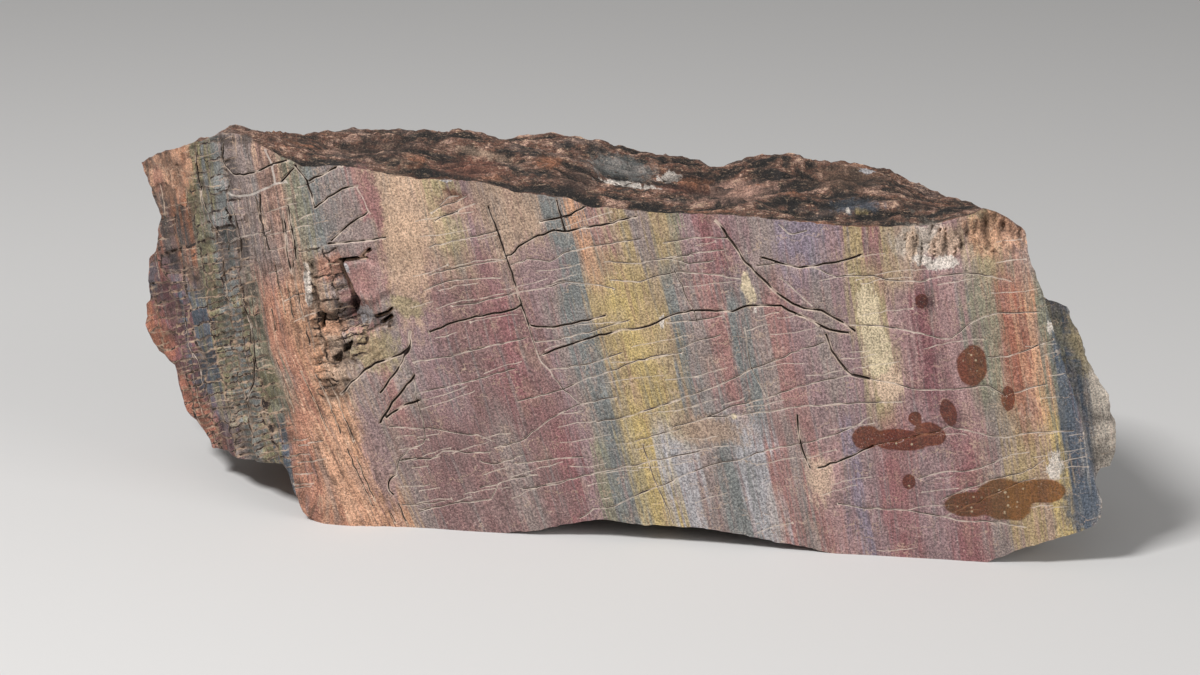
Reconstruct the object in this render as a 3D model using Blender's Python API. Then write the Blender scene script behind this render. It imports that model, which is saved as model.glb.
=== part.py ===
"""Petrified wood: one block of stone broken from a fossil log, lying on its long side.

Metres, +X along the stone, +Z up, the colour-banded broken face towards -Y. The stone is a front
face and a back face, each a surface over its own outline, joined by a rough rim.
"""

import bmesh
import bpy
import numpy as np
from mathutils import Vector, geometry, noise

NAME = "petrified_wood"
MM = 0.001

# The front face stands upright here, with a slow swell, and turns back a little at its right edge
FRONT_Y = -0.058
FACE_SWELL = 0.0010
FACE_SWELL_SIZE = 0.070
RIGHT_EDGE_X = 0.184
RIGHT_EDGE_SLOPE = 0.25

# The back face, and the ledges where layers have come away
BACK_Y_AT_X = (
    (-0.205, 0.040), (-0.130, 0.041), (-0.090, 0.043), (0.020, 0.048), (0.130, 0.045), (0.200, 0.039),
)
BACK_BULGE = 0.004
BACK_SWELL = 0.0042
BACK_SWELL_SIZE = 0.050
BACK_MARGIN = 0.020
LEDGE_MID_HEIGHT = 0.070
LEDGE_HALF_WIDTH = 0.004
LEDGE_WANDER = 0.009
LEDGE_WANDER_SIZE = 0.040

# The left end of the front face turns back from this fold
FOLD_X_AT_TOP = -0.128
FOLD_X_AT_FOOT = -0.117
FOLD_HEIGHT = 0.150
FOLD_ROUNDING = 0.008
FOLD_ANGLE = np.radians(48)
LEFT_END_X = (-0.125, -0.145)
LEFT_END_LUMPS = 0.0016
LEFT_END_LUMP_SIZE = 0.011

# The slab that stands out of the right end, behind the front face, as shares of the depth
SLAB_STARTS = 0.15
SLAB_FULL = 0.20
SLAB_CREVICE = 0.0030
CREVICE_HALF_WIDTH = 0.035
WHOLE_CREVICE_STEP = 0.004

# The rim: its lumps fade out over a margin, as a share of the depth, at both faces
RIM_MARGIN = 0.12
TOP_LUMPS = 0.0018
END_LUMPS = 0.0032
LUMP_SIZE = 0.024
RIM_MIDDLE_Z = 0.07
RIM_HALF_SIZE = np.array((0.20, 0.07))

# The top of the rim, with long ridges that follow the grain
TOP_FROM_Z = (0.100, 0.118)
TOP_LEFT_X = (-0.180, -0.130)
TOP_RIGHT_X = (0.175, 0.145)
TOP_LIP = 0.0030
TOP_RIDGE = 0.0055
RIDGE_SIZE = np.array((0.045, 0.013, 0.200))
RIDGE_MEAN = 0.6

# The underside of the rim, arched between two resting edges
UNDER_BELOW_Z = (0.030, 0.010)
UNDERSIDE_ARCH = 0.008
ARCH_MARGIN = (0.10, 0.35)

GROOVE_HALF_WIDTH = 0.0009
GROOVE_DEPTH = 0.0016

# Spacing of the corners, in a staggered grid
FACE_SPACING = 0.0070
TOP_SPACING = 0.0060
HIDDEN_SPACING = 0.0110
ROW_STEP = 0.866
JITTER = 0.22
CLEARANCE = 0.45

TO_CENTRE = np.array((-0.0035, 0.0018, 0.0))

# Outlines in millimetres (x, z), clockwise as seen from the front
FRONT_TOP = (
    (-201, 125), (-190, 133), (-175, 140), (-161, 147), (-147, 154), (-142, 156), (-137, 156), (-126, 154),
    (-118, 151), (-109, 147), (-93, 148), (-77, 146), (-61, 144), (-37, 144), (-21, 140), (-1, 139),
    (7, 136), (34, 135), (66, 135), (101, 133), (118, 133), (141, 135), (156, 140), (160, 142),
)
FRONT_RIGHT = (
    (160, 142), (166, 140), (175, 133), (177, 125), (184, 107), (188, 92), (195, 72), (200, 56),
    (204, 37), (208, 26), (208, 20), (206, 16),
)
FRONT_UNDER = (
    (206, 16), (199, 13), (192, 11), (185, 9), (177, 6), (169, 2), (163, -1), (157, -2), (122, -2),
    (109, -1), (93, 2), (83, 3), (70, 5), (52, 7), (27, 7), (10, 8), (-4, 5), (-16, 2), (-29, 0),
    (-39, -2), (-65, -2), (-74, -3), (-92, -3), (-104, -1), (-111, 2), (-114, 7), (-117, 12),
    (-119, 18), (-122, 21), (-135, 17), (-149, 13), (-154, 14), (-164, 12),
)
FRONT_LEFT = (
    (-164, 12), (-168, 17), (-182, 24), (-188, 39), (-196, 42), (-201, 46), (-205, 52), (-203, 56),
    (-204, 61), (-201, 64), (-200, 83), (-194, 89), (-192, 97), (-190, 105), (-195, 115), (-201, 125),
)
BACK_TOP = (
    (-190, 110), (-178, 117), (-164, 124), (-154, 128), (-141, 129), (-132, 131), (-124, 136),
    (-116, 137), (-87, 138), (-68, 139), (-60, 140), (-49, 137), (-38, 137), (-25, 139), (-5, 137),
    (11, 133), (28, 132), (43, 128), (52, 130), (61, 132), (74, 134), (81, 132), (96, 132),
    (109, 130), (115, 127), (124, 122), (130, 120), (138, 117), (142, 114),
)
BACK_RIGHT = (
    (142, 114), (149, 106), (155, 97), (163, 87), (172, 78), (181, 67), (188, 55), (191, 44),
    (189, 35), (184, 28),
)
BACK_UNDER = (
    (184, 28), (170, 18), (150, 10), (120, 5), (90, 0), (70, -2), (30, -3), (-10, -3), (-35, -2),
    (-60, 2), (-90, 6), (-120, 10), (-140, 14), (-158, 20),
)
BACK_LEFT = (
    (-158, 20), (-166, 28), (-178, 36), (-190, 46), (-197, 56), (-197, 70), (-193, 82), (-187, 92),
    (-186, 100), (-190, 110),
)
SLAB_RIGHT = (
    (160, 142), (166, 140), (175, 133), (177, 125), (183, 105), (191, 104), (196, 101), (200, 90),
    (203, 79), (208, 71), (213, 61), (216, 48), (217, 40), (215, 33), (208, 28), (205, 24), (206, 16),
)

# Stretches of the rim: front, slab and back outline, the axis they are matched along, and their length
STRETCHES = (
    (FRONT_TOP, FRONT_TOP, BACK_TOP, 0, 0.38),
    (FRONT_RIGHT, SLAB_RIGHT, BACK_RIGHT, 1, 0.16),
    (FRONT_UNDER, FRONT_UNDER, BACK_UNDER, 0, 0.42),
    (FRONT_LEFT, FRONT_LEFT, BACK_LEFT, 1, 0.14),
)

# Old cracks across the front face in millimetres (x, z)
CRACKS = (
    ((-34, 133), (-29, 121), (-23, 103), (-18, 87), (-13, 72), (-4, 61), (2, 56)),
    ((-27, 115), (-17, 122), (-8, 126), (3, 127), (11, 129), (25, 132)),
    ((-12, 75), (-1, 80), (19, 87), (39, 94), (55, 96), (69, 99), (82, 100)),
    ((57, 131), (68, 117), (82, 103), (97, 99), (111, 91)),
    ((27, 54), (49, 62), (71, 74), (89, 82), (100, 86), (108, 74), (117, 72)),
    ((52, 52), (76, 62), (95, 69), (117, 72), (147, 69), (163, 72), (170, 68), (179, 72), (187, 74)),
    ((108, 94), (134, 92), (148, 90), (156, 97), (165, 101), (180, 102)),
    ((74, 119), (83, 116), (103, 118), (112, 122)),
    ((95, 116), (116, 114), (136, 112), (153, 117), (170, 114)),
    ((98, 35), (112, 41), (119, 45), (145, 53), (152, 54), (171, 51), (196, 56)),
    ((-64, 64), (-61, 43), (-67, 33), (-72, 22), (-76, 15), (-74, 9)),
    ((-32, 35), (-10, 48), (2, 56), (18, 59)),
    ((-22, 56), (-4, 62), (16, 70), (32, 77), (43, 79)),
    ((27, 20), (43, 28), (66, 36), (89, 44), (103, 48), (118, 57)),
    ((28, 40), (34, 23), (41, 10)),
    ((-64, 69), (-49, 73), (-36, 77), (-19, 82)),
    ((-95, 54), (-89, 61), (-78, 69), (-66, 75), (-66, 82)),
    ((-165, 131), (-163, 125), (-159, 116), (-155, 107)),
    ((-145, 130), (-141, 129), (-133, 132), (-121, 139)),
    ((-107, 144), (-105, 130), (-104, 113)),
    ((-173, 74), (-171, 57), (-170, 38)),
    ((-134, 88), (-134, 71), (-136, 55)),
)
# The open L-shaped gap beside the loose block
GAP = (
    ((-95, 109), (-89, 110), (-83, 111)),
    ((-94, 109), (-92, 104), (-89, 98), (-88, 90)),
)
GAP_HALF_WIDTH = 0.0022
GAP_DEPTH = 0.0080

# Forms on the front face: x, z, half width, half height, how far it stands out (all millimetres)
FACE_FORMS = (
    (-122, 132, 9, 30, 2.0),
    (-114, 75, 10, 34, 2.6),
    (-97, 12, 17, 24, 4.5),
    (-73, 118, 12, 24, 1.0),
    (-88, 101, 5, 8, -2.5),
    (-86, 87, 5, 5, -6.0),
    (-94, 82, 9, 4, -3.5),
    (-100, 70, 4, 13, -2.5),
    (-84, 70, 9, 7, -2.0),
    (-48, 134, 9, 7, -2.2),
    (150, 126, 12, 8, -4.0),
    (176, 134, 12, 9, -6.0),
    (-186, 40, 9, 14, -3.0),
)
# Forms on the top: x, y, half length, half depth, height (all millimetres)
TOP_FORMS = (
    (0, -32, 11, 8, -6.0),
    (12, 2, 30, 15, -5.0),
    (16, -20, 20, 4, 2.5),
    (35, -10, 12, 8, 2.0),
    (78, 22, 24, 16, 3.0),
    (104, -12, 34, 10, 2.5),
    (100, -46, 30, 5, -1.5),
    (-60, 10, 40, 10, 2.0),
    (-95, -20, 26, 9, -2.0),
    (-133, 8, 18, 16, -3.0),
)
# Ledges on the back, where layers of wood have come away: x at mid height, lean, step outwards (millimetres)
BACK_LEDGES = (
    (-128, -0.25, 5.0),
    (-52, -0.20, -6.0),
    (38, -0.25, 6.0),
    (118, -0.15, -5.0),
)


def smooth(low, high, value):
    """Rises from 0 at low to 1 at high."""
    share = np.clip((value - low) / (high - low), 0, 1)
    return share * share * (3 - 2 * share)


def roughness(points, size, octaves=3):
    """Fractal noise of the given feature size, about -1 to 1, one value a point."""
    return np.array([noise.fractal(Vector(p) / size, 1.0, 2.0, octaves) for p in points])


def ridges(points, size):
    """Sharp-crested noise, 0 to about 1, with its own size on each axis."""
    return np.array([1 - abs(noise.noise(Vector(p / size))) * 2 for p in points])


def mounds(forms, across, along):
    """Sum of rounded lumps and hollows, read from rows in millimetres."""
    total = np.zeros(len(across))
    for centre_a, centre_b, half_a, half_b, height in forms:
        spread = ((across / MM - centre_a) / half_a) ** 2 + ((along / MM - centre_b) / half_b) ** 2
        total += height * MM * np.exp(-spread)
    return total


def distance_to(line, points):
    """Distance of each point to a polyline."""
    nearest = np.full(len(points), np.inf)
    for start, end in zip(line[:-1], line[1:]):
        step = end - start
        share = np.clip((points - start) @ step / (step @ step), 0, 1)
        nearest = np.minimum(nearest, np.linalg.norm(points - start - share[:, None] * step, axis=1))
    return nearest


def closed(line):
    return np.vstack((line, line[:1]))


def groove(lines, half_width, depth, points):
    """Depth of V-shaped grooves along the lines."""
    cut = np.zeros(len(points))
    for line in lines:
        cut = np.maximum(cut, depth * np.clip(1 - distance_to(line, points) / half_width, 0, 1))
    return cut


def lines_of(rows):
    return [np.array(row, float) * MM for row in rows]


def front_surface(points):
    """Front face as 3-D points over (x, z)."""
    x, z = points[:, 0], points[:, 1]
    fold = np.interp(z, (0, FOLD_HEIGHT), (FOLD_X_AT_FOOT, FOLD_X_AT_TOP))
    turned = FOLD_ROUNDING * np.logaddexp(0, (fold - x) / FOLD_ROUNDING) * np.tan(FOLD_ANGLE)
    flat = np.column_stack((x, np.zeros(len(x)), z))
    y = FRONT_Y + turned + FACE_SWELL * roughness(flat, FACE_SWELL_SIZE)
    y += RIGHT_EDGE_SLOPE * np.clip(x - RIGHT_EDGE_X, 0, None)
    y += smooth(*LEFT_END_X, x) * LEFT_END_LUMPS * roughness(flat, LEFT_END_LUMP_SIZE)
    y -= mounds(FACE_FORMS, x, z)
    y += groove(lines_of(CRACKS), GROOVE_HALF_WIDTH, GROOVE_DEPTH, points)
    y += groove(lines_of(GAP), GAP_HALF_WIDTH, GAP_DEPTH, points)
    return np.column_stack((x, y, z))


def back_surface(points, inside):
    """Back face as 3-D points over (x, z); inside is 0 at the outline and 1 well within it."""
    x, z = points[:, 0], points[:, 1]
    depths = np.array(BACK_Y_AT_X)
    flat = np.column_stack((x, np.ones(len(x)), z))
    bumps = BACK_BULGE + BACK_SWELL * roughness(flat, BACK_SWELL_SIZE)
    wander = LEDGE_WANDER * roughness(flat, LEDGE_WANDER_SIZE, 2)
    for middle, lean, step in BACK_LEDGES:
        edge = middle * MM + lean * (z - LEDGE_MID_HEIGHT) + wander
        bumps += step * MM * smooth(-LEDGE_HALF_WIDTH, LEDGE_HALF_WIDTH, x - edge)
    y = np.interp(x, depths[:, 0], depths[:, 1]) + inside * bumps
    return np.column_stack((x, y, z))


def stretch(line, axis, shares):
    """Points of an outline stretch at these shares of its run along one axis."""
    line = np.array(line, float) * MM
    run = (line[:, axis] - line[0, axis]) / (line[-1, axis] - line[0, axis])
    return np.column_stack((np.interp(shares, run, line[:, 0]), np.interp(shares, run, line[:, 1])))


def outlines(spacing):
    """Matching points round the front, the slab and the back outline."""
    front, slab, back = [], [], []
    for front_line, slab_line, back_line, axis, length in STRETCHES:
        shares = np.arange(0, 1, 1 / round(length / spacing))
        front.append(stretch(front_line, axis, shares))
        slab.append(stretch(slab_line, axis, shares))
        back.append(stretch(back_line, axis, shares))
    return np.vstack(front), np.vstack(slab), np.vstack(back)


def staggered_grid(low, high, spacing, seed):
    """Points of a staggered grid over a box, each moved a little."""
    rng = np.random.default_rng(seed)
    rows = []
    for number, height in enumerate(np.arange(low[1], high[1], spacing * ROW_STEP)):
        across = np.arange(low[0] + spacing * 0.5 * (number % 2), high[0], spacing)
        rows.append(np.column_stack((across, np.full(len(across), height))))
    points = np.vstack(rows)
    return points + rng.uniform(-JITTER, JITTER, points.shape) * spacing


def inside(outline, points):
    """Which points are inside a closed outline."""
    found = np.zeros(len(points), bool)
    x, z = points.T
    for (x1, z1), (x2, z2) in zip(outline, np.roll(outline, -1, axis=0)):
        crosses = (z1 > z) != (z2 > z)
        if z1 != z2:
            found ^= crosses & (x < (x2 - x1) * (z - z1) / (z2 - z1) + x1)
    return found


def resampled(line, spacing):
    """The polyline with points at about this spacing."""
    lengths = np.concatenate(([0], np.cumsum(np.linalg.norm(np.diff(line, axis=0), axis=1))))
    along = np.linspace(0, lengths[-1], max(2, round(lengths[-1] / spacing) + 1))
    return np.column_stack([np.interp(along, lengths, line[:, axis]) for axis in (0, 1)])


def beside(line, offset):
    """The polyline moved sideways."""
    run = np.gradient(line, axis=0)
    run /= np.linalg.norm(run, axis=1)[:, None]
    return line + offset * np.column_stack((-run[:, 1], run[:, 0]))


def groove_lines(rows, half_width, spacing):
    """Centre and both borders of each groove, as edges for the triangles to follow."""
    lines = []
    for row in lines_of(rows):
        centre = resampled(row, spacing)
        lines += [centre, beside(centre, half_width), beside(centre, -half_width)]
    return lines


def triangulated(outline, grid, spacing, lines=()):
    """Triangles inside the outline, along its edges and the lines, through the grid's points."""
    keep = inside(outline, grid)
    for line in (closed(outline), *lines):
        keep &= distance_to(line, grid) > CLEARANCE * spacing
    count = len(outline)
    points = [outline]
    edges = [(i, (i + 1) % count) for i in range(count)]
    for line in lines:
        edges += [(count + i, count + i + 1) for i in range(len(line) - 1)]
        count += len(line)
        points.append(line)
    points.append(grid[keep])
    flat = [Vector(p) for p in np.vstack(points).tolist()]
    found = geometry.delaunay_2d_cdt(flat, edges, [tuple(range(len(outline)))], 1, 1e-6)
    corners = np.array([tuple(v) for v in found[0]])
    faces = np.array([face for face in found[2] if len(face) == 3])
    first, second, third = corners[faces[:, 0]], corners[faces[:, 1]], corners[faces[:, 2]]
    turn = (second - first)[:, 0] * (third - first)[:, 1] - (second - first)[:, 1] * (third - first)[:, 0]
    faces[turn < 0] = faces[turn < 0][:, ::-1]
    return corners, faces


def rim_surface(places, length, width, front, slab, back):
    """Rim points from their place along the outline and across it, front to back."""
    across = np.interp(places[:, 0], length, width)
    share = np.clip(places[:, 1] / across, 0, 1)
    ring = [np.column_stack([np.interp(places[:, 0], length, line[:, k]) for k in range(3)])
            for line in (front, slab, back)]
    points = ring[0] + (ring[2] - ring[0]) * share[:, None]
    out = smooth(SLAB_STARTS, SLAB_FULL, share) * np.minimum(1, (1 - share) / (1 - SLAB_FULL))
    step = ring[1] - ring[0]
    points += step * out[:, None]
    stands_out = np.minimum(1, np.linalg.norm(step, axis=1) / WHOLE_CREVICE_STEP)
    points[:, 0] -= SLAB_CREVICE * stands_out * np.exp(-(((share - SLAB_STARTS) / CREVICE_HALF_WIDTH) ** 2))
    away = smooth(0, RIM_MARGIN, share) * smooth(0, RIM_MARGIN, 1 - share)
    top = smooth(*TOP_FROM_Z, points[:, 2]) * smooth(*TOP_RIGHT_X, points[:, 0])
    top *= smooth(*TOP_LEFT_X, points[:, 0])
    under = smooth(*UNDER_BELOW_Z, points[:, 2])
    points[:, 2] += top * away * (TOP_LIP + mounds(TOP_FORMS, points[:, 0], points[:, 1]))
    points[:, 2] += top * away * TOP_RIDGE * (ridges(points, RIDGE_SIZE) - RIDGE_MEAN)
    points[:, 2] += under * smooth(*ARCH_MARGIN, share) * smooth(*ARCH_MARGIN, 1 - share) * UNDERSIDE_ARCH
    outward = (points - (0, 0, RIM_MIDDLE_Z)) / (RIM_HALF_SIZE[0], 1, RIM_HALF_SIZE[1])
    outward[:, 1] = 0
    outward /= np.linalg.norm(outward, axis=1)[:, None]
    lumps = TOP_LUMPS * top + END_LUMPS * (1 - top)
    return points + outward * (away * lumps * roughness(points, LUMP_SIZE))[:, None]


def stone_surface():
    """All corners and triangles of the stone before its resting spots are cut."""
    front_line, slab_line, back_line = outlines(FACE_SPACING)
    lines = groove_lines(CRACKS, GROOVE_HALF_WIDTH, FACE_SPACING)
    lines += groove_lines(GAP, GAP_HALF_WIDTH, FACE_SPACING)
    grid = staggered_grid(front_line.min(axis=0), front_line.max(axis=0), FACE_SPACING, 1)
    front_flat, front_faces = triangulated(front_line, grid, FACE_SPACING, lines)
    grid = staggered_grid(back_line.min(axis=0), back_line.max(axis=0), HIDDEN_SPACING, 2)
    back_flat, back_faces = triangulated(back_line, grid, HIDDEN_SPACING)
    within = smooth(0, BACK_MARGIN, distance_to(closed(back_line), back_flat))

    front = front_surface(front_line)
    back = back_surface(back_line, np.zeros(len(back_line)))
    slab = np.column_stack((slab_line[:, 0], front[:, 1], slab_line[:, 1]))
    front, slab, back = [closed(ring) for ring in (front, slab, back)]
    steps = np.linalg.norm(np.diff((front + back) / 2, axis=0), axis=1)
    length = np.concatenate(([0], np.cumsum(steps)))
    width = np.linalg.norm(back - front, axis=1)
    seam = np.arange(1, round(width[0] / FACE_SPACING)) * FACE_SPACING
    border = np.vstack((
        np.column_stack((length, np.zeros(len(length)))),
        np.column_stack((np.full(len(seam), length[-1]), seam)),
        np.column_stack((length, width))[::-1],
        np.column_stack((np.zeros(len(seam)), seam))[::-1],
    ))
    high = border.max(axis=0)
    under_start = length[np.argmin(np.abs(front[:, 0] - FRONT_UNDER[0][0] * MM) + front[:, 2])]
    visible = staggered_grid(border.min(axis=0), high, TOP_SPACING, 3)
    hidden = staggered_grid(border.min(axis=0), high, HIDDEN_SPACING, 4)
    grid = np.vstack((visible[visible[:, 0] < under_start], hidden[hidden[:, 0] >= under_start]))
    rim_flat, rim_faces = triangulated(border, grid, TOP_SPACING)

    sheets = (
        (front_surface(front_flat), front_faces),
        (rim_surface(rim_flat, length, width, front, slab, back), rim_faces),
        (back_surface(back_flat, within), back_faces[:, ::-1]),
    )
    corners, faces, start = [], [], 0
    for sheet, triangles in sheets:
        corners.append(sheet)
        faces.append(triangles + start)
        start += len(sheet)
    return np.vstack(corners) + TO_CENTRE, np.vstack(faces)


def cut_resting_spots(mesh):
    """Cuts the stone flat where it rests, at height zero."""
    shape = bmesh.new()
    shape.from_mesh(mesh)
    bmesh.ops.remove_doubles(shape, verts=shape.verts, dist=1e-6)
    everything = shape.verts[:] + shape.edges[:] + shape.faces[:]
    bmesh.ops.bisect_plane(
        shape, geom=everything, dist=1e-5, plane_co=(0, 0, 0), plane_no=(0, 0, 1), clear_inner=True
    )
    open_edges = [edge for edge in shape.edges if edge.is_boundary]
    bmesh.ops.holes_fill(shape, edges=open_edges, sides=0)
    bmesh.ops.triangulate(shape, faces=[face for face in shape.faces if len(face.verts) > 3])
    bmesh.ops.recalc_face_normals(shape, faces=shape.faces)
    shape.to_mesh(mesh)
    shape.free()


def stone_material():
    material = bpy.data.materials.new("petrified_wood_stone")
    material.use_nodes = True
    shader = material.node_tree.nodes["Principled BSDF"]
    shader.inputs["Base Color"].default_value = (0.33, 0.21, 0.19, 1)
    shader.inputs["Roughness"].default_value = 0.75
    return material


def build():
    for obj in list(bpy.data.objects):
        bpy.data.objects.remove(obj)
    collection = bpy.data.collections.new(NAME)
    bpy.context.scene.collection.children.link(collection)
    corners, faces = stone_surface()
    mesh = bpy.data.meshes.new(NAME)
    mesh.from_pydata(corners.tolist(), [], faces.tolist())
    cut_resting_spots(mesh)
    mesh.materials.append(stone_material())
    collection.objects.link(bpy.data.objects.new(NAME, mesh))


build()
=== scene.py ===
"""Petrified wood: the finished surface of one block of colour-banded stone.

The stone follows the outlines and forms of its solid, but finer: cracks, blocks, ledges and pits are cut
into its mesh. What was read off the photograph is placed by pixels of its 1200 x 675 frame, and the camera's
own numbers turn a pixel into a place on the stone. Shapes are worked out in the solid's design axes, in
metres.
"""

from collections import namedtuple

import bmesh
import bpy
import numpy as np
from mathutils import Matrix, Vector, geometry, noise


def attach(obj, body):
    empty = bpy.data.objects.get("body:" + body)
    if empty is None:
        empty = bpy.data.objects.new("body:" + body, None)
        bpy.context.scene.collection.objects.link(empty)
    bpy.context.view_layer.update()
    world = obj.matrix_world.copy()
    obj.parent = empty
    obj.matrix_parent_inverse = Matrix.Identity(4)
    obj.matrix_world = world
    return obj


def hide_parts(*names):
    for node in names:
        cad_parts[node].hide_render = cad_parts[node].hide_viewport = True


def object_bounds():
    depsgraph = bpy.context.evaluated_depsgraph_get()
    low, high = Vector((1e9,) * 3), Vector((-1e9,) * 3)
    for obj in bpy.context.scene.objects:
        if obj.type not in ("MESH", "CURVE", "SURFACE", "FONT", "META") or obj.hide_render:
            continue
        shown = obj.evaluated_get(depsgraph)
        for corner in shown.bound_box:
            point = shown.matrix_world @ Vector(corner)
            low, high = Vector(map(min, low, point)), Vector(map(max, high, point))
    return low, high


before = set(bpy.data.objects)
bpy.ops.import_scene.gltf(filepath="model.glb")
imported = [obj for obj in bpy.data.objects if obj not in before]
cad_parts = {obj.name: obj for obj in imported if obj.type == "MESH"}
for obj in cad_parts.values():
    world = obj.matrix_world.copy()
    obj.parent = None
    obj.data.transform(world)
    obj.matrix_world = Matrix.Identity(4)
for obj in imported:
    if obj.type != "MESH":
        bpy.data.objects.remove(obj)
CAD_LOW, CAD_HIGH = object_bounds()

NAME = "petrified_wood"
MM = 0.001
TO_CENTRE = np.array((-0.0035, 0.0018, 0.0))

# Camera
PHOTO_WIDTH = 1200
PHOTO_HEIGHT = 675
LENS = 110
SENSOR = 36
FOCAL_PIXELS = PHOTO_WIDTH * LENS / SENSOR
VIEW_ELEVATION = np.radians(16.0)
VIEW_AZIMUTH = np.radians(10.5)
VIEW_DISTANCE = 1.50
VIEW_TARGET = np.array((0.0, 0.0, 0.0665))
BACKWARD = np.array((
    np.sin(VIEW_AZIMUTH) * np.cos(VIEW_ELEVATION),
    -np.cos(VIEW_AZIMUTH) * np.cos(VIEW_ELEVATION),
    np.sin(VIEW_ELEVATION),
))
RIGHTWARD = np.array((np.cos(VIEW_AZIMUTH), np.sin(VIEW_AZIMUTH), 0.0))
UPWARD = np.cross(BACKWARD, RIGHTWARD)
EYE = VIEW_TARGET + VIEW_DISTANCE * BACKWARD
MM_PER_PIXEL = 0.41
# Rounds in which a pixel's place on the face, and its band's place on the middle row, are closed in on
FACE_ROUNDS = 8
BAND_ROUNDS = 4
# Patches lie on the front part and fade where it turns from the camera: the facing and y, from and to
FACING = (0.0, 0.12)
FRONT_PART_Y = (0.035, 0.030)

# Lights: place and size (metres), power (watts)
LIGHTS = {
    "key_light": ((-0.75, -1.0, 1.65), 0.45, 40),
    "fill_light": ((1.7, -0.9, 0.7), 1.0, 14),
}
LIGHT_TARGET = (0, 0, 0.07)
WORLD_STRENGTH = 0.24
FLOOR_HALF = 6.0
FLOOR_COLOUR = (0.62, 0.61, 0.60, 1.0)
FLOOR_ROUGHNESS = 0.9

# Spacing of the mesh, and how clear its points stay of outlines and cracks
FACE_SPACING = 1.65 * MM
LEFT_SPACING = 1.05 * MM
CAVITY_SPACING = 0.65 * MM
TOP_SPACING = 1.25 * MM
HIDDEN_SPACING = 3.2 * MM
DEPTH_STRETCH = 1.7
ROW_STEP = 0.866
JITTER = 0.22
OUTLINE_CLEARANCE = 0.45
CRACK_CLEARANCE = 0.40
MERGE_DISTANCE = 1e-6
CUT_TOLERANCE = 1e-5
INSIDE_ONLY = 1
SHARP_ANGLE = np.radians(55)
BOX_MARGIN = 0.05 * MM

# Lumps, swells, wanders and grits below are pairs: how high they are, and the size of one

# Front face, as in the solid: upright, with a slow swell, and turned back a little at its right edge
FRONT_Y = -0.058
FACE_SWELL = (0.0010, 0.070)
RIGHT_EDGE_X = 0.184
RIGHT_EDGE_SLOPE = 0.25

# The left end of the front face turns back from this fold
FOLD_X_AT_TOP = -0.128
FOLD_X_AT_FOOT = -0.117
FOLD_HEIGHT = 0.150
FOLD_ROUNDING = 0.008
FOLD_ANGLE = np.radians(48)
LEFT_END_X = (-0.125, -0.145)
LEFT_END_LUMPS = (0.0016, 0.011)

# The back face, its ledges where layers have come away, and its fibres
BACK_Y_AT_X = (
    (-0.205, 0.040), (-0.130, 0.041), (-0.090, 0.043), (0.020, 0.048), (0.130, 0.045), (0.200, 0.039),
)
BACK_BULGE = 0.004
BACK_SWELL = (0.0042, 0.050)
BACK_MARGIN = 0.020
LEDGE_MID_HEIGHT = 0.070
LEDGE_HALF_WIDTH = 0.002
LEDGE_WANDER = (0.009, 0.040)
BACK_GRAIN_LEAN = 0.22
BACK_FIBRES = (0.0014, (0.006, 1.0, 0.060))
BACK_GRIT = (0.0008, 0.008)
BACK_SKIN = 0.85

# The slab that stands out of the right end, behind the front face, as shares of the depth
SLAB_STARTS = 0.15
SLAB_FULL = 0.20
SLAB_CREVICE = 0.0030
CREVICE_HALF_WIDTH = 0.035
WHOLE_CREVICE_STEP = 0.004
SLAB_FACE_X = (0.172, 0.180)
SLAB_FACE_SHARE = (0.45, 0.35)

# The rim: its lumps, and its fine relief, fade out over a margin, as a share of the depth, at both faces
RIM_MARGIN = (0, 0.12)
FINE_MARGIN = (0, 0.03)
TOP_LUMPS = 0.0018
END_LUMPS = 0.0032
LUMP_SIZE = 0.024
RIM_MIDDLE_Z = 0.07
RIM_HALF_LENGTH = 0.2
RIM_HALF_HEIGHT = 0.07
GRIT = (0.0005, 0.005)
END_GRIT = (0.0012, 0.010)
SKIN_EDGE = 0.0012
SKIN_FROM_Z = (0.096, 0.112)
SKIN_BELOW = 0.35

# The top of the rim, with long ridges that follow the grain, and splinters: height, and size on each axis
TOP_FROM_Z = (0.100, 0.118)
TOP_LEFT_X = (-0.180, -0.130)
TOP_RIGHT_X = (0.175, 0.145)
TOP_LIP = 0.0030
TOP_RIDGES = (0.0055, (0.045, 0.013, 0.2))
RIDGE_MEAN = 0.6
CREST_ROUNDING = 0.10
SPLINTERS = (
    (0.0017, (0.040, 0.0080, 0.05)),
    (0.0011, (0.016, 0.0046, 0.03)),
    (0.0008, (0.0050, 0.0040, 0.02)),
)
SPLINTERS_FROM_X = (-0.140, -0.100)

# The underside of the rim, arched between two resting edges
UNDER_BELOW_Z = (0.030, 0.010)
UNDERSIDE_ARCH = 0.008
ARCH_MARGIN = (0.10, 0.35)

# Depth at which each feature's noise is read, so that no two features follow each other
NOISE_DEPTHS = {"face": 0.0, "relief": 0.2, "kinks": 0.3, "cracks": 0.4, "pits": 0.6, "back": 1.0}
SECOND_NOISE = 0.1

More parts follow.
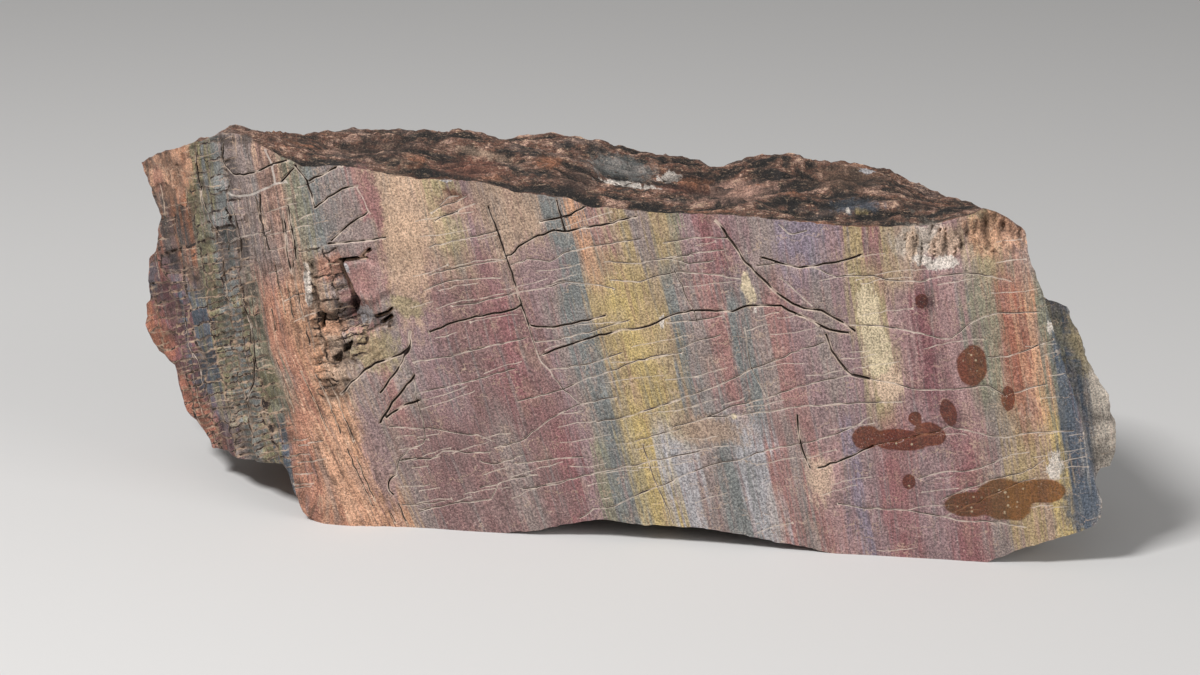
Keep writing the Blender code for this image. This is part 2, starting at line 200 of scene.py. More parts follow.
# Outlines in millimetres (x, z), clockwise as seen from the front
FRONT_TOP = (
    (-201, 125), (-190, 133), (-175, 140), (-161, 147), (-147, 154), (-142, 156), (-137, 156), (-126, 154),
    (-118, 151), (-109, 147), (-93, 148), (-77, 146), (-61, 144), (-37, 144), (-21, 140), (-1, 139),
    (7, 136), (34, 135), (66, 135), (101, 133), (118, 133), (141, 135), (156, 140), (160, 142),
)
FRONT_RIGHT = (
    (160, 142), (166, 140), (175, 133), (177, 125), (184, 107), (188, 92), (195, 72), (200, 56), (204, 37),
    (208, 26), (208, 20), (206, 16),
)
FRONT_UNDER = (
    (206, 16), (199, 13), (192, 11), (185, 9), (177, 6), (169, 2), (163, -1), (157, -2), (122, -2),
    (109, -1), (93, 2), (83, 3), (70, 5), (52, 7), (27, 7), (10, 8), (-4, 5), (-16, 2), (-29, 0),
    (-39, -2), (-65, -2), (-74, -3), (-92, -3), (-104, -1), (-111, 2), (-114, 7), (-117, 12), (-119, 18),
    (-122, 21), (-135, 17), (-149, 13), (-154, 14), (-164, 12),
)
FRONT_LEFT = (
    (-164, 12), (-168, 17), (-182, 24), (-188, 39), (-196, 42), (-201, 46), (-205, 52), (-203, 56),
    (-204, 61), (-201, 64), (-200, 83), (-194, 89), (-192, 97), (-190, 105), (-195, 115), (-201, 125),
)
BACK_TOP = (
    (-190, 110), (-178, 117), (-164, 124), (-154, 128), (-141, 129), (-132, 131), (-124, 136), (-116, 137),
    (-87, 138), (-68, 139), (-60, 140), (-49, 137), (-38, 137), (-25, 139), (-5, 137), (11, 133),
    (28, 132), (43, 128), (52, 130), (61, 132), (74, 134), (81, 132), (96, 132), (109, 130), (115, 127),
    (124, 122), (130, 120), (138, 117), (142, 114),
)
BACK_RIGHT = (
    (142, 114), (149, 106), (155, 97), (163, 87), (172, 78), (181, 67), (188, 55), (191, 44), (189, 35),
    (184, 28),
)
BACK_UNDER = (
    (184, 28), (170, 18), (150, 10), (120, 5), (90, 0), (70, -2), (30, -3), (-10, -3), (-35, -2), (-60, 2),
    (-90, 6), (-120, 10), (-140, 14), (-158, 20),
)
BACK_LEFT = (
    (-158, 20), (-166, 28), (-178, 36), (-190, 46), (-197, 56), (-197, 70), (-193, 82), (-187, 92),
    (-186, 100), (-190, 110),
)
SLAB_RIGHT = (
    (160, 142), (166, 140), (175, 133), (177, 125), (183, 105), (191, 104), (196, 101), (200, 90),
    (203, 79), (208, 71), (213, 61), (216, 48), (217, 40), (215, 33), (208, 28), (205, 24), (206, 16),
)

# The four runs round the stone: front, slab and back line, the axis each runs along, and its length (metres)
STRETCHES = (
    (FRONT_TOP, FRONT_TOP, BACK_TOP, 0, 0.38),
    (FRONT_RIGHT, SLAB_RIGHT, BACK_RIGHT, 1, 0.16),
    (FRONT_UNDER, FRONT_UNDER, BACK_UNDER, 0, 0.42),
    (FRONT_LEFT, FRONT_LEFT, BACK_LEFT, 1, 0.14),
)
# How rough the front, slab and back outlines are
OUTLINE_ROUGHNESS = (0.45, 0.6, 0.9)
OUTLINE_LUMP_SIZE = 5 * MM
OUTLINE_NOISE = 0.7

# Forms on the front face: x, z, half width, half height, how far it stands out (all millimetres)
FACE_FORMS = (
    (-122, 132, 9, 30, 2.0),
    (-114, 75, 10, 34, 2.6),
    (-97, 12, 17, 24, 4.5),
    (-73, 118, 12, 24, 1.0),
    (-88, 101, 5, 8, -2.5),
    (-86, 87, 5, 5, -6.0),
    (-94, 82, 9, 4, -3.5),
    (-100, 70, 4, 13, -2.5),
    (-84, 70, 9, 7, -2.0),
    (-48, 134, 9, 7, -2.2),
    (150, 126, 12, 8, -4.0),
    (176, 134, 12, 9, -6.0),
    (-186, 40, 9, 14, -3.0),
)
# Forms on the top: x, y, half length, half depth, height (all millimetres)
TOP_FORMS = (
    (0, -32, 11, 8, -6.0),
    (12, 2, 30, 15, -5.0),
    (16, -20, 20, 4, 2.5),
    (35, -10, 12, 8, 2.0),
    (78, 22, 24, 16, 3.0),
    (104, -12, 34, 10, 2.5),
    (100, -46, 30, 5, -1.5),
    (-60, 10, 40, 10, 2.0),
    (-95, -20, 26, 9, -2.0),
    (-133, 8, 18, 16, -3.0),
)
# Ledges on the back, where layers of wood have come away: x at mid height, lean, step outwards (millimetres)
BACK_LEDGES = (
    (-128, -0.25, 5.0),
    (-52, -0.20, -6.0),
    (38, -0.25, 6.0),
    (118, -0.15, -5.0),
)

# Cracks on the front face, in photograph pixels
OPEN_CRACKS = (
    ((488, 207), (500, 240), (515, 285), (521, 305), (528, 324)),
    ((505, 256), (515, 254), (516, 248), (530, 240), (545, 234), (553, 230), (565, 232), (580, 229),
     (600, 226), (635, 217)),
    ((556, 198), (561, 218), (565, 232)),
    ((540, 222), (556, 219), (570, 215), (586, 206)),
    ((430, 332), (456, 322), (487, 315), (514, 310), (521, 305)),
    ((531, 326), (548, 328), (567, 325), (590, 320), (604, 316)),
    ((543, 355), (571, 344), (596, 337), (621, 330), (636, 329), (654, 325), (671, 315), (691, 311),
     (713, 311), (733, 312), (748, 306), (781, 306)),
    ((396, 475), (388, 480), (388, 490), (393, 495)),
    ((762, 258), (784, 265), (800, 268), (835, 263), (860, 255)),
    ((819, 468), (839, 462), (856, 454), (873, 446)),
    ((797, 415), (800, 444), (810, 468)),
    ((331, 241), (350, 224), (368, 212)),
    ((328, 244), (344, 243), (363, 241), (385, 238)),
    ((315, 208), (330, 196), (344, 188), (358, 186)),
    ((309, 181), (323, 175), (335, 168), (342, 165)),
    ((288, 160), (297, 169), (307, 181), (314, 206)),
    ((281, 182), (293, 169)),
    ((195, 147), (197, 166), (200, 189), (207, 213), (218, 234)),
    ((223, 145), (223, 164), (232, 175), (251, 174), (269, 166), (288, 160)),
    ((231, 206), (234, 215), (240, 241), (240, 259)),
    ((260, 196), (260, 215), (265, 236), (269, 250)),
    ((288, 206), (290, 222), (294, 241), (296, 259)),
    ((283, 213), (286, 231), (288, 259), (291, 272)),
    ((184, 314), (188, 347), (198, 361), (202, 384)),
    ((241, 300), (251, 330), (255, 358), (253, 384), (246, 400)),
)
LIPPED_CRACKS = (
    ((717, 222), (730, 240), (745, 262), (763, 280), (781, 298), (799, 308), (819, 310), (839, 321),
     (854, 331)),
    ((783, 308), (812, 321), (827, 330), (847, 333)),
    ((826, 335), (831, 350), (847, 373), (869, 379)),
    ((380, 362), (399, 355), (410, 347), (410, 332)),
    ((380, 362), (365, 369), (355, 380), (346, 388), (340, 395)),
    ((380, 393), (397, 370), (410, 347)),
    ((380, 423), (391, 404), (414, 376)),
    ((386, 418), (403, 406), (418, 401)),
)
CREAM_CRACKS = (
    ((528, 324), (533, 343), (541, 362), (552, 374), (564, 390), (578, 402)),
    ((433, 212), (443, 205), (455, 203), (466, 196)),
    ((436, 220), (448, 214), (458, 212)),
    ((440, 205), (448, 198), (458, 196)),
    ((452, 214), (462, 208), (474, 204)),
    ((453, 306), (476, 303), (495, 298), (516, 293), (539, 289), (564, 283)),
    ((535, 342), (552, 341), (571, 336), (590, 332), (610, 325), (629, 320)),
    ((640, 412), (666, 404), (695, 394), (723, 384), (753, 368), (778, 360), (799, 350), (826, 342)),
    ((703, 419), (733, 406), (764, 399), (789, 390), (814, 383), (849, 375), (869, 379), (903, 385),
     (915, 390), (946, 390), (972, 387), (988, 385), (1006, 396), (1030, 388), (1047, 384)),
    ((671, 428), (710, 417), (731, 416), (756, 413), (789, 408), (822, 405), (856, 403), (900, 402)),
    ((640, 493), (658, 487), (681, 477), (711, 465), (739, 460), (763, 451), (797, 444), (806, 444),
     (831, 436), (854, 427), (870, 417)),
    ((873, 446), (939, 431), (948, 426), (958, 429), (988, 435), (1006, 438), (1033, 432), (1073, 431)),
    ((846, 324), (889, 327), (913, 332), (950, 340), (972, 322), (996, 313), (1037, 312)),
    ((988, 357), (1010, 357), (1030, 348), (1055, 339)),
    ((840, 504), (860, 508), (903, 510), (939, 516), (962, 521), (998, 522), (1024, 527)),
    ((919, 479), (943, 472), (974, 470), (998, 461), (1010, 455)),
    ((943, 499), (962, 490), (998, 478), (1022, 473), (1043, 461)),
    ((946, 516), (970, 505), (992, 496), (1010, 486), (1035, 478)),
    ((416, 394), (456, 385), (495, 374), (514, 369)),
    ((415, 362), (451, 356), (483, 348), (525, 338)),
    ((414, 376), (416, 395), (419, 410), (424, 427), (426, 443), (409, 449), (398, 461), (396, 475)),
    ((390, 427), (428, 428), (456, 433), (476, 435), (493, 441)),
    ((495, 448), (522, 441), (548, 420), (579, 404), (617, 397)),
    ((518, 401), (544, 395), (564, 389), (587, 379), (613, 370), (634, 362), (654, 356), (680, 353)),
    ((549, 370), (590, 364), (621, 353)),
    ((598, 422), (629, 417), (648, 410), (667, 404), (680, 400)),
    ((636, 441), (663, 433), (680, 429)),
    ((399, 461), (417, 458), (430, 460), (445, 450), (466, 453), (490, 452)),
    ((482, 462), (494, 465), (523, 455)),
    ((517, 464), (553, 459), (582, 457)),
    ((523, 489), (557, 484), (570, 479), (604, 471), (645, 463), (700, 451)),
    ((480, 488), (498, 484), (513, 478), (535, 475)),
    ((498, 484), (491, 500), (455, 503), (441, 506), (419, 512)),
    ((580, 518), (594, 509), (613, 507), (635, 496), (657, 487)),
    ((643, 446), (651, 469), (657, 487), (668, 508), (675, 526)),
    ((815, 268), (835, 277), (870, 275), (890, 280), (920, 282), (945, 275), (965, 273), (990, 276),
     (1010, 281)),
    ((745, 330), (750, 365), (765, 395)),
    ((226, 244), (241, 237), (269, 231)),
    ((356, 186), (370, 213)),
    ((430, 247), (450, 242), (478, 236), (500, 230)),
    ((430, 275), (455, 268), (480, 264), (507, 259)),
    ((425, 290), (447, 281), (470, 279), (500, 278)),
    ((511, 265), (530, 258), (550, 262), (566, 252), (590, 247), (640, 239)),
    ((545, 286), (565, 281), (590, 284), (612, 288)),
    ((604, 262), (640, 263), (668, 258), (690, 264), (712, 261)),
    ((670, 259), (690, 254), (722, 250)),
    ((664, 243), (690, 238), (725, 238)),
    ((612, 280), (640, 282), (662, 274), (680, 272), (715, 275), (740, 279)),
    ((678, 349), (695, 342), (720, 335)),
    ((668, 323), (700, 320), (722, 316)),
    ((683, 290), (694, 312), (697, 322)),
    ((674, 270), (684, 291)),
    ((757, 266), (780, 263), (800, 268)),
    ((782, 279), (797, 293), (812, 306)),
    ((780, 225), (790, 235), (806, 231)),
)
WHITE_CRACKS = (
    ((228, 193), (236, 197), (250, 195), (275, 184), (285, 182)),
    ((265, 150), (272, 165), (275, 184)),
)
GAPS = (
    ((338, 261), (348, 260), (357, 258), (366, 258)),
    ((341, 262), (346, 274), (351, 286), (355, 297)),
    ((362, 256), (369, 250)),
    ((376, 317), (386, 314), (391, 309)),
    ((382, 323), (391, 317)),
    ((320, 314), (323, 326)),
)
# Each kind of crack: half width and depth (millimetres), how open it is and how white its lips are
CRACK_KINDS = {
    "open": (0.72, 1.4, 1.0, 0.5),
    "lipped": (0.92, 1.6, 0.9, 0.4),
    "cream": (0.40, 0.6, 0.58, 0.60),
    "white": (0.60, 0.5, 0.15, 1.0),
    "gap": (1.10, 6.0, 1.6, 0.0),
    "short": (0.36, 0.5, 0.5, 0.5),
    "hair": (0.26, 0.25, 0.25, 0.6),
    "split": (0.45, 0.9, 0.7, 0.2),
}
CRACK_SPACING = 1.15 * MM
CRACK_REACH = 2.5 * MM
CRACK_MARGIN = 0.8 * MM
KINK_SPACING = 2.4 * MM
KINKS = (0.50 * MM, 1.7 * MM)
# A crack opens and closes along its run: mean, and how much it changes over a size
OPENNESS_MEAN = 0.95
OPENNESS_CHANGE = (1.4, 8 * MM)
OPENNESS_MOST = 1.4
DEPTH_LIMITS = (0.3, 1.2)

# Areas crossed by short cracks in rows: left, right, top, bottom, gap between rows, rise over run
LADDERS = (
    (262, 300, 190, 330, 22.0, 0.30),
    (395, 425, 430, 520, 9.0, 0.10),
    (290, 310, 440, 500, 7.0, 0.10),
)
HAIR_LADDERS = (
    (412, 560, 220, 400, 16.0, 0.24),
    (415, 640, 395, 520, 18.0, 0.22),
    (560, 700, 215, 520, 14.0, 0.14),
    (690, 860, 225, 540, 18.0, 0.22),
    (850, 1040, 240, 550, 18.0, 0.12),
    (1040, 1095, 300, 520, 10.0, 0.16),
)
# Short cracks in rows: the share of places with one, shortest and longest run (pixels), seed
LADDER_TRAITS = (0.55, 9, 30, 11)
HAIR_LADDER_TRAITS = (0.30, 14, 60, 12)
ROW_SHIFT = 0.35
RISE_RANGE = (0.5, 1.5)
BEND = 0.06
BREAK_RANGE = (0.1, 0.5)
# Areas split along the grain: first and last place on the middle row, top, bottom, gap between splits
SPLITS = (
    (176, 262, 150, 440, 16.0),
    (276, 318, 190, 345, 9.0),
    (272, 340, 350, 520, 15.0),
)
SPLIT_SEED = 23
SPLIT_CHANCE = 0.6
SPLIT_START = 40
SPLIT_RUN = (14, 60)
SPLIT_BREAK = (4, 26)
SPLIT_SHIFT = 0.4
SPLIT_DRIFT = 1.2
SPLIT_POINTS = 4
# Blocks of the left end and of the cavity: rows counted down the photograph, and the width of a column
LEFT_ROWS_AT = ((110, 0.0), (250, 8.0), (300, 13.5), (480, 42.0))
CAVITY_ROWS_AT = ((230, 0.0), (310, 6.0), (480, 25.0))
LEFT_COLUMN = 7.4 * MM
CAVITY_COLUMN = 9.5 * MM
COLUMN_STEP = 0.618034
TALL_FROM_TURN = 0.5
TALL_ROWS = 0.42
BLOCK_SEED = 3
COLUMN_WANDER = (2.6 * MM, 9 * MM)
ROW_WANDER = (3.5, 9 * MM)
ROW_RISE = 0.22
ROW_RISE_FROM = 200
CAVITY_FROM = 300
CAVITY_AREA = (
    (306, 246), (338, 245), (353, 290), (364, 312), (392, 312), (396, 326), (376, 346), (356, 366),
    (348, 404), (318, 400), (308, 330),
)

# Places on the middle row between which the left end, the ridge and the plain face change over, and the
# distance, in pixels, over which the cavity does
RIDGE_STARTS = (262, 272)
RIDGE_ENDS = (334, 318)
CAVITY_EDGE = (-2, 5)
# Relief of each zone (millimetres): streaks along the grain, broad lumps, fine lumps, grooves between blocks
LEFT_RELIEF = (0.0, 1.3, 0.8, 0.5)
RIDGE_RELIEF = (0.70, 0.7, 0.5, 0.0)
CAVITY_RELIEF = (0.0, 0.9, 0.7, 0.6)
PLAIN_RELIEF = (0.10, 0.20, 0.12, 0.0)
# Steps from block to block (millimetres), with the mean that is taken off, and more for large blocks
LEFT_STEP, LEFT_STEP_MEAN = 1.2, 0.6
LARGE_STEP, LARGE_ROWS = 0.6, (2.6 * MM, 5.0 * MM)
CAVITY_STEP, CAVITY_STEP_MEAN = 1.6, 0.5
STREAKS_ACROSS, STREAK_SIZE = 12, 0.018
FINE_SIZE = 2.4 * MM
BROAD_SIZE = 9 * MM
GROOVE_HALF_WIDTH = 0.75 * MM
# The corner at the upper left, nearly free of blocks: centre and half size in photograph pixels
PLAIN_CORNER = ((158, 170), (36, 45))
PLAIN_CORNER_LOSS = 0.85
CORNER_EDGE = (1.1, 0.7)
# How clearly the blocks show: mean, change from place to place, and the least
BLOCK_PATCHES = (0.95, 1.4, 0.35)
# The pitted corner and the fibrous hollow at the upper right
PITTED_CORNER = ((1000, 230), (38, 32))
FIBROUS_HOLLOW = ((934, 246), (36, 24))
# Pits: depth, level, size on each axis, and where their noise starts
PITS = (
    (1.6 * MM, 0.7, (0.0030, 1.0, 0.0085), 0.0),
    (1.0 * MM, 0.6, (0.0016, 1.0, 0.0034), 0.03),
)
HOLLOW_FIBRES = (2.1 * MM, 0.012)
HOLLOW_STRETCH = np.array((8.0, 1.0, 1.3))
HOLLOW_EDGE = (1.1, 0.8)
# Areas with a finer mesh, in photograph pixels
CAVITY_MESH = ((298, 235), (400, 235), (412, 330), (385, 400), (325, 420), (305, 330))
LEFT_MESH = ((262, 120), (262, 235), (272, 350), (284, 480), (300, 560), (60, 560), (60, 100))
CORNER_MESH = ((898, 212), (960, 212), (1000, 190), (1045, 220), (1045, 262), (975, 270), (900, 272))

# Blocks and hollows of the broken cavity: how far out (millimetres), corners in photograph pixels
PLATES = (
    (1.2, ((343, 263), (371, 262), (384, 270), (390, 288), (372, 301), (360, 298), (352, 286))),
    (0.6, ((318, 252), (335, 249), (345, 274), (318, 281))),
    (0.2, ((319, 283), (346, 277), (350, 285), (331, 291), (320, 291))),
    (1.0, ((332, 292), (350, 287), (355, 298), (350, 301), (338, 304))),
    (0.9, ((320, 293), (331, 292), (337, 309), (324, 313), (319, 308))),
    (-6.0, ((352, 298), (357, 296), (360, 301), (355, 312), (349, 304))),
    (-3.0, ((338, 305), (350, 303), (355, 312), (346, 319), (341, 318))),
    (-1.5, ((326, 316), (338, 311), (342, 319), (330, 319))),
    (-5.0, ((320, 313), (325, 314), (324, 325), (321, 323))),
    (-4.0, ((343, 346), (353, 341), (349, 351), (344, 353))),
    (-3.5, ((333, 357), (342, 352), (340, 364), (335, 363))),
    (0.8, ((352, 345), (375, 343), (384, 348), (364, 365), (350, 358))),
    (0.7, ((322, 352), (338, 350), (338, 366), (324, 368))),
    (0.6, ((326, 370), (340, 368), (338, 385), (327, 382))),
)
PLATE_MARGIN = 3 * MM
PLATE_SOFTNESS = 0.35 * MM

# How far a colour band leans: its place on the middle row, then pixels across for each pixel up and down
MIDDLE_ROW = 350
HIGHEST_ROW = 150
LEANS = (
    (150, 0.20, 0.25),
    (240, 0.15, 0.20),
    (290, 0.18, 0.44),
    (420, 0.22, 0.36),
    (620, 0.27, 0.25),
    (760, 0.20, 0.20),
    (870, 0.12, 0.12),
    (1060, 0.15, 0.155),
)

COLOURS = {
    "mauve": (145, 118, 119),
    "dark mauve": (130, 99, 97),
    "maroon": (139, 93, 94),
    "pink mauve": (158, 126, 124),
    "lilac": (132, 118, 130),
    "purple": (124, 80, 84),
    "rose": (153, 112, 107),
    "slate": (119, 121, 119),
    "light slate": (166, 162, 164),
    "blue slate": (80, 89, 101),
    "mauve grey": (142, 126, 121),
    "grey olive": (132, 128, 108),
    "olive": (126, 118, 88),
    "khaki": (164, 148, 112),
    "ochre": (188, 164, 108),
    "dull ochre": (166, 144, 106),
    "orange tan": (196, 148, 116),
    "tan": (166, 140, 120),
    "peach": (202, 154, 124),
    "sand": (194, 162, 136),
    "pale sand": (206, 178, 154),
    "salmon": (174, 122, 100),
    "brick": (158, 100, 80),
    "facet": (164, 104, 78),
    "salmon brown": (156, 122, 108),
    "brown": (98, 76, 62),
    "slate brown": (92, 82, 78),
    "dark brown": (54, 40, 34),
    "red brown": (110, 68, 54),
    "rust": (152, 100, 72),
    "cream": (210, 192, 160),
    "white": (214, 204, 194),
    "grey white": (176, 174, 176),
    # slab grey is pale, and paler still on the slab at the right end as painted light, for the slab faces
    # from the key light
    "slab grey": (196, 184, 170),
    "black": (24, 18, 16),
    # crack is painted shade: the dark inside of cracks, of the seams between blocks and of fine dark threads
    "crack": (40, 24, 20),
    "wet red": (92, 28, 20),
    "wet purple": (78, 44, 48),
    "wet orange": (98, 82, 8),
    "wet green": (72, 74, 22),
}

# Colour bands from left to right at three heights: where each starts on the middle row, and its colour
# The last band, slab grey, is the slab's pale colour made paler as painted light, for the slab faces from the
# key light
UPPER_BANDS = (
    (150, "facet"), (182, "slate brown"), (200, "rust"), (217, "olive"), (232, "slate"),
    (246, "mauve grey"), (256, "mauve grey"), (268, "mauve grey"), (284, "salmon brown"),
    (322, "grey olive"), (340, "slate"), (352, "mauve grey"), (384, "rose"), (402, "tan"), (420, "sand"),
    (470, "khaki"), (492, "mauve"), (515, "tan"), (545, "tan"), (572, "slate"), (611, "orange tan"),
    (622, "mauve grey"), (630, "rose"), (636, "tan"), (646, "dull ochre"), (664, "mauve grey"),
    (678, "dull ochre"), (700, "grey olive"), (706, "mauve"), (724, "maroon"), (744, "mauve"),
    (768, "mauve grey"), (790, "lilac"), (848, "mauve"), (862, "dull ochre"), (878, "maroon"),
    (890, "dull ochre"), (906, "tan"), (930, "mauve"), (948, "pink mauve"), (985, "khaki"),
    (1014, "salmon brown"), (1040, "slate"),
)
MIDDLE_BANDS = (
    (140, "facet"), (162, "purple"), (196, "blue slate"), (210, "olive"), (232, "slate"), (246, "olive"),
    (258, "grey olive"), (268, "salmon"), (292, "orange tan"), (322, "tan"), (345, "mauve grey"),
    (360, "rose"), (384, "mauve grey"), (405, "mauve"), (440, "dark mauve"), (496, "maroon"),
    (522, "dark mauve"), (546, "mauve"), (560, "mauve grey"), (574, "slate"), (606, "dull ochre"),
    (616, "ochre"), (656, "dull ochre"), (676, "slate"), (690, "mauve grey"), (714, "rose"),
    (736, "slate"), (752, "mauve grey"), (774, "rose"), (792, "mauve"), (820, "mauve grey"),
    (838, "mauve"), (858, "khaki"), (896, "pink mauve"), (912, "purple"), (946, "pink mauve"),
    (972, "grey olive"), (1000, "brick"), (1030, "orange tan"), (1044, "grey olive"), (1056, "blue slate"),
    (1078, "slab grey"),
)
LOWER_BANDS = (
    (140, "orange tan"), (172, "salmon"), (190, "purple"), (210, "mauve grey"), (226, "slate"),
    (240, "olive"), (254, "blue slate"), (264, "salmon"), (280, "peach"), (318, "orange tan"),
    (332, "tan"), (346, "mauve grey"), (362, "dark mauve"), (420, "dark mauve"), (470, "mauve grey"),
    (486, "dark mauve"), (526, "maroon"), (548, "mauve"), (560, "grey olive"), (576, "slate"),
    (600, "khaki"), (612, "ochre"), (638, "light slate"), (670, "mauve grey"), (688, "slate"),
    (722, "light slate"), (748, "rose"), (766, "mauve grey"), (786, "rose"), (800, "pink mauve"),
    (828, "lilac"), (846, "mauve"), (866, "maroon"), (900, "mauve"), (930, "maroon"), (968, "mauve grey"),
    (996, "dull ochre"), (1018, "tan"), (1034, "ochre"), (1046, "blue slate"), (1078, "slab grey"),
)

BANDS_END = 1120
BAND_SOFTNESS = 0.30
STOPS_PER_RAMP = 30
# Rows over which one height gives way to the next
UPPER_TO_MIDDLE = (245.0, 305.0)
MIDDLE_TO_LOWER = (390.0, 450.0)
# How a band's edge frays and wanders, and its row wanders: noise levels from and to, pixels either way
BAND_FRAY = (0.25, 0.75, 11.0)
BAND_WANDER = (0.2, 0.8, 6.0)
BAND_ROW_WANDER = (0.2, 0.8, 22.0)
# How far, in pixels, the bands move from block to block
BLOCK_SHIFT = 13.0

# Patches with crisp edges: centre, half width, half height (pixels), tilt (degrees), colour
MINERALS = (
    (308, 287, 4, 25, 4, "white"),
    (366, 315, 7, 10, 30, "grey white"),
    (347, 268, 2, 7, 20, "grey white"),
    (431, 189, 2, 2, 0, "white"),
    (748, 289, 6, 17, 14, "cream"),
    (755, 310, 3, 4, 0, "white"),
    (662, 321, 3, 8, 0, "white"),
    (734, 417, 3, 4, 0, "cream"),
    (867, 308, 11, 25, 8, "cream"),
    (877, 350, 14, 36, 12, "cream"),
    (888, 385, 16, 19, 8, "pale sand"),
    (922, 260, 12, 6, -8, "white"),
    (944, 263, 17, 7, 6, "white"),
    (912, 244, 6, 18, 0, "pale sand"),
    (1055, 466, 8, 15, 0, "white"),
    (1051, 326, 4, 8, 0, "white"),
    (848, 210, 3, 3, 0, "white"),
    (670, 177, 12, 6, 10, "white"),
    (626, 184, 32, 3, -8, "white"),
    (866, 170, 10, 3, 0, "grey white"),
    (446, 180, 7, 2, 0, "grey white"),
)
# Stains with soft edges
STAINS = (
    (405, 250, 22, 70, 8, "sand"),
    (408, 306, 20, 12, -20, "khaki"),
    (360, 225, 22, 28, 10, "mauve grey"),
    (372, 200, 8, 36, 16, "maroon"),
    (362, 280, 12, 14, 0, "rose"),
    (347, 296, 8, 7, 0, "rose"),
    (330, 268, 14, 14, 0, "salmon"),
    (334, 372, 12, 26, 0, "tan"),
    (334, 325, 16, 10, 0, "peach"),
    (374, 350, 27, 19, -20, "khaki"),
    (538, 268, 26, 28, 10, "mauve"),
    (455, 205, 22, 12, -20, "salmon brown"),
    (455, 195, 14, 5, -25, "red brown"),
    (228, 141, 10, 5, -10, "dark brown"),
    (245, 139, 8, 4, 0, "slate brown"),
    (167, 172, 24, 26, 0, "peach"),
    (378, 455, 13, 56, 17, "mauve"),
    (366, 212, 9, 30, -8, "maroon"),
    (925, 240, 30, 17, 0, "slab grey"),
    (735, 192, 42, 11, 5, "salmon brown"),
    (160, 175, 12, 22, 10, "salmon"),
    (160, 345, 14, 26, 20, "facet"),
    (196, 408, 12, 46, 30, "facet"),
    (150, 275, 8, 20, 0, "blue slate"),
    (926, 302, 8, 8, 0, "wet purple"),
    (998, 232, 34, 22, 10, "peach"),
    (938, 242, 32, 16, 0, "pale sand"),
    (1078, 345, 9, 34, 15, "khaki"),
    (1065, 400, 8, 70, 8, "blue slate"),
    (1082, 505, 16, 26, 0, "blue slate"),
    (710, 430, 36, 14, -10, "tan"),
    (820, 480, 12, 24, 5, "pale sand"),
    (622, 168, 34, 11, -8, "slate"),
    (578, 182, 20, 13, 0, "dark brown"),
    (548, 162, 13, 6, 0, "rust"),
    (534, 181, 8, 5, 0, "black"),
    (482, 154, 34, 4, -14, "tan"),
    (470, 168, 32, 10, 0, "red brown"),
    (385, 148, 44, 11, 4, "dark brown"),
    (700, 190, 46, 5, -4, "red brown"),
    (690, 181, 34, 3, -6, "rust"),
    (850, 178, 34, 12, 0, "brown"),
    (856, 206, 24, 7, 0, "blue slate"),
    (861, 212, 9, 3, 0, "ochre"),
    (918, 207, 18, 3, 0, "dark brown"),
    (1000, 214, 26, 12, 35, "orange tan"),
)
# Damp glossy spots
DAMP_SPOTS = (
    (972, 365, 15, 20, 0, "wet red"),
    (866, 437, 15, 12, 10, "wet red"),
    (900, 440, 30, 11, -4, "wet red"),
    (930, 434, 16, 11, -20, "wet red"),
    (949, 413, 8, 14, 20, "wet purple"),
    (915, 418, 7, 7, 0, "wet red"),
    (1008, 398, 7, 13, 0, "wet purple"),
    (968, 504, 24, 13, 0, "wet green"),
    (1004, 500, 30, 21, -8, "wet orange"),
    (1040, 491, 26, 12, 0, "wet orange"),
    (909, 482, 7, 8, 0, "wet purple"),
    (922, 301, 7, 8, 0, "wet purple"),
)

# Edges of the patches: how ragged they are, the levels at which a patch starts and is whole, its strength
PATCH_EDGES = {
    "stain": (0.22, 0.30, 0.72, 0.78),
    "mineral": (0.20, 0.44, 0.60, 0.85),
}
PATCH_NOISE = (0.2, 0.8)

# Noise textures: along the grain or not, scale on each axis (per millimetre), detail, roughness
TEXTURES = {
    "speckle": (False, (1.3, 1.3, 1.3), 2.0, 0.80),
    "blotch": (False, (0.09, 0.09, 0.09), 3.0, 0.6),
    "patchy": (False, (0.30, 0.30, 0.30), 2.0, 0.5),
    "grit": (False, (0.35, 0.8, 0.8), 4.0, 0.7),
    "skin": (False, (0.17, 0.36, 0.50), 5.0, 0.85),
    "skin patches": (False, (0.035, 0.08, 0.08), 3.0, 0.6),
    "skin fibres": (False, (0.32, 0.70, 1.2), 4.0, 0.78),
    "streak": (True, (0.9, 0.06, 0.05), 3.0, 0.65),
    "tint": (True, (0.60, 0.022, 0.05), 3.0, 0.6),
    "cloud": (True, (0.10, 0.05, 0.05), 3.0, 0.6),
    "ragged": (True, (0.5, 0.16, 0.2), 3.0, 0.65),
    "fray": (True, (0.50, 0.018, 0.03), 3.0, 0.65),
    "wander": (True, (0.05, 0.035, 0.02), 2.0, 0.5),
}

# Tints: texture, level at which the tint starts and is whole, strength, colour
FACE_TINTS = (
    ("tint", 0.55, 0.68, 0.42, "slate"),
    ("tint", 0.45, 0.34, 0.34, "rose"),
)
CLOUD_TINTS = (
    ("cloud", 0.50, 0.64, 0.26, "mauve grey"),
    ("cloud", 0.44, 0.34, 0.24, "tan"),
)
BARK_TINTS = (
    ("streak", 0.45, 0.34, 0.60, "brown"),
    ("streak", 0.56, 0.66, 0.60, "sand"),
)
SKIN_TINTS = (
    ("skin patches", 0.42, 0.34, 0.55, "rust"),
    ("skin patches", 0.56, 0.66, 0.55, "slate brown"),
    ("skin fibres", 0.46, 0.38, 0.90, "dark brown"),
    ("skin fibres", 0.57, 0.64, 0.85, "sand"),
)
PALE_GRAINS = (("speckle", 0.60, 0.74, 0.30, "cream"),)
# White glints painted into the colour as highlights, where the skin is gone
PAINTED_GLINTS = (("speckle", 0.68, 0.76, 0.60, "white"),)

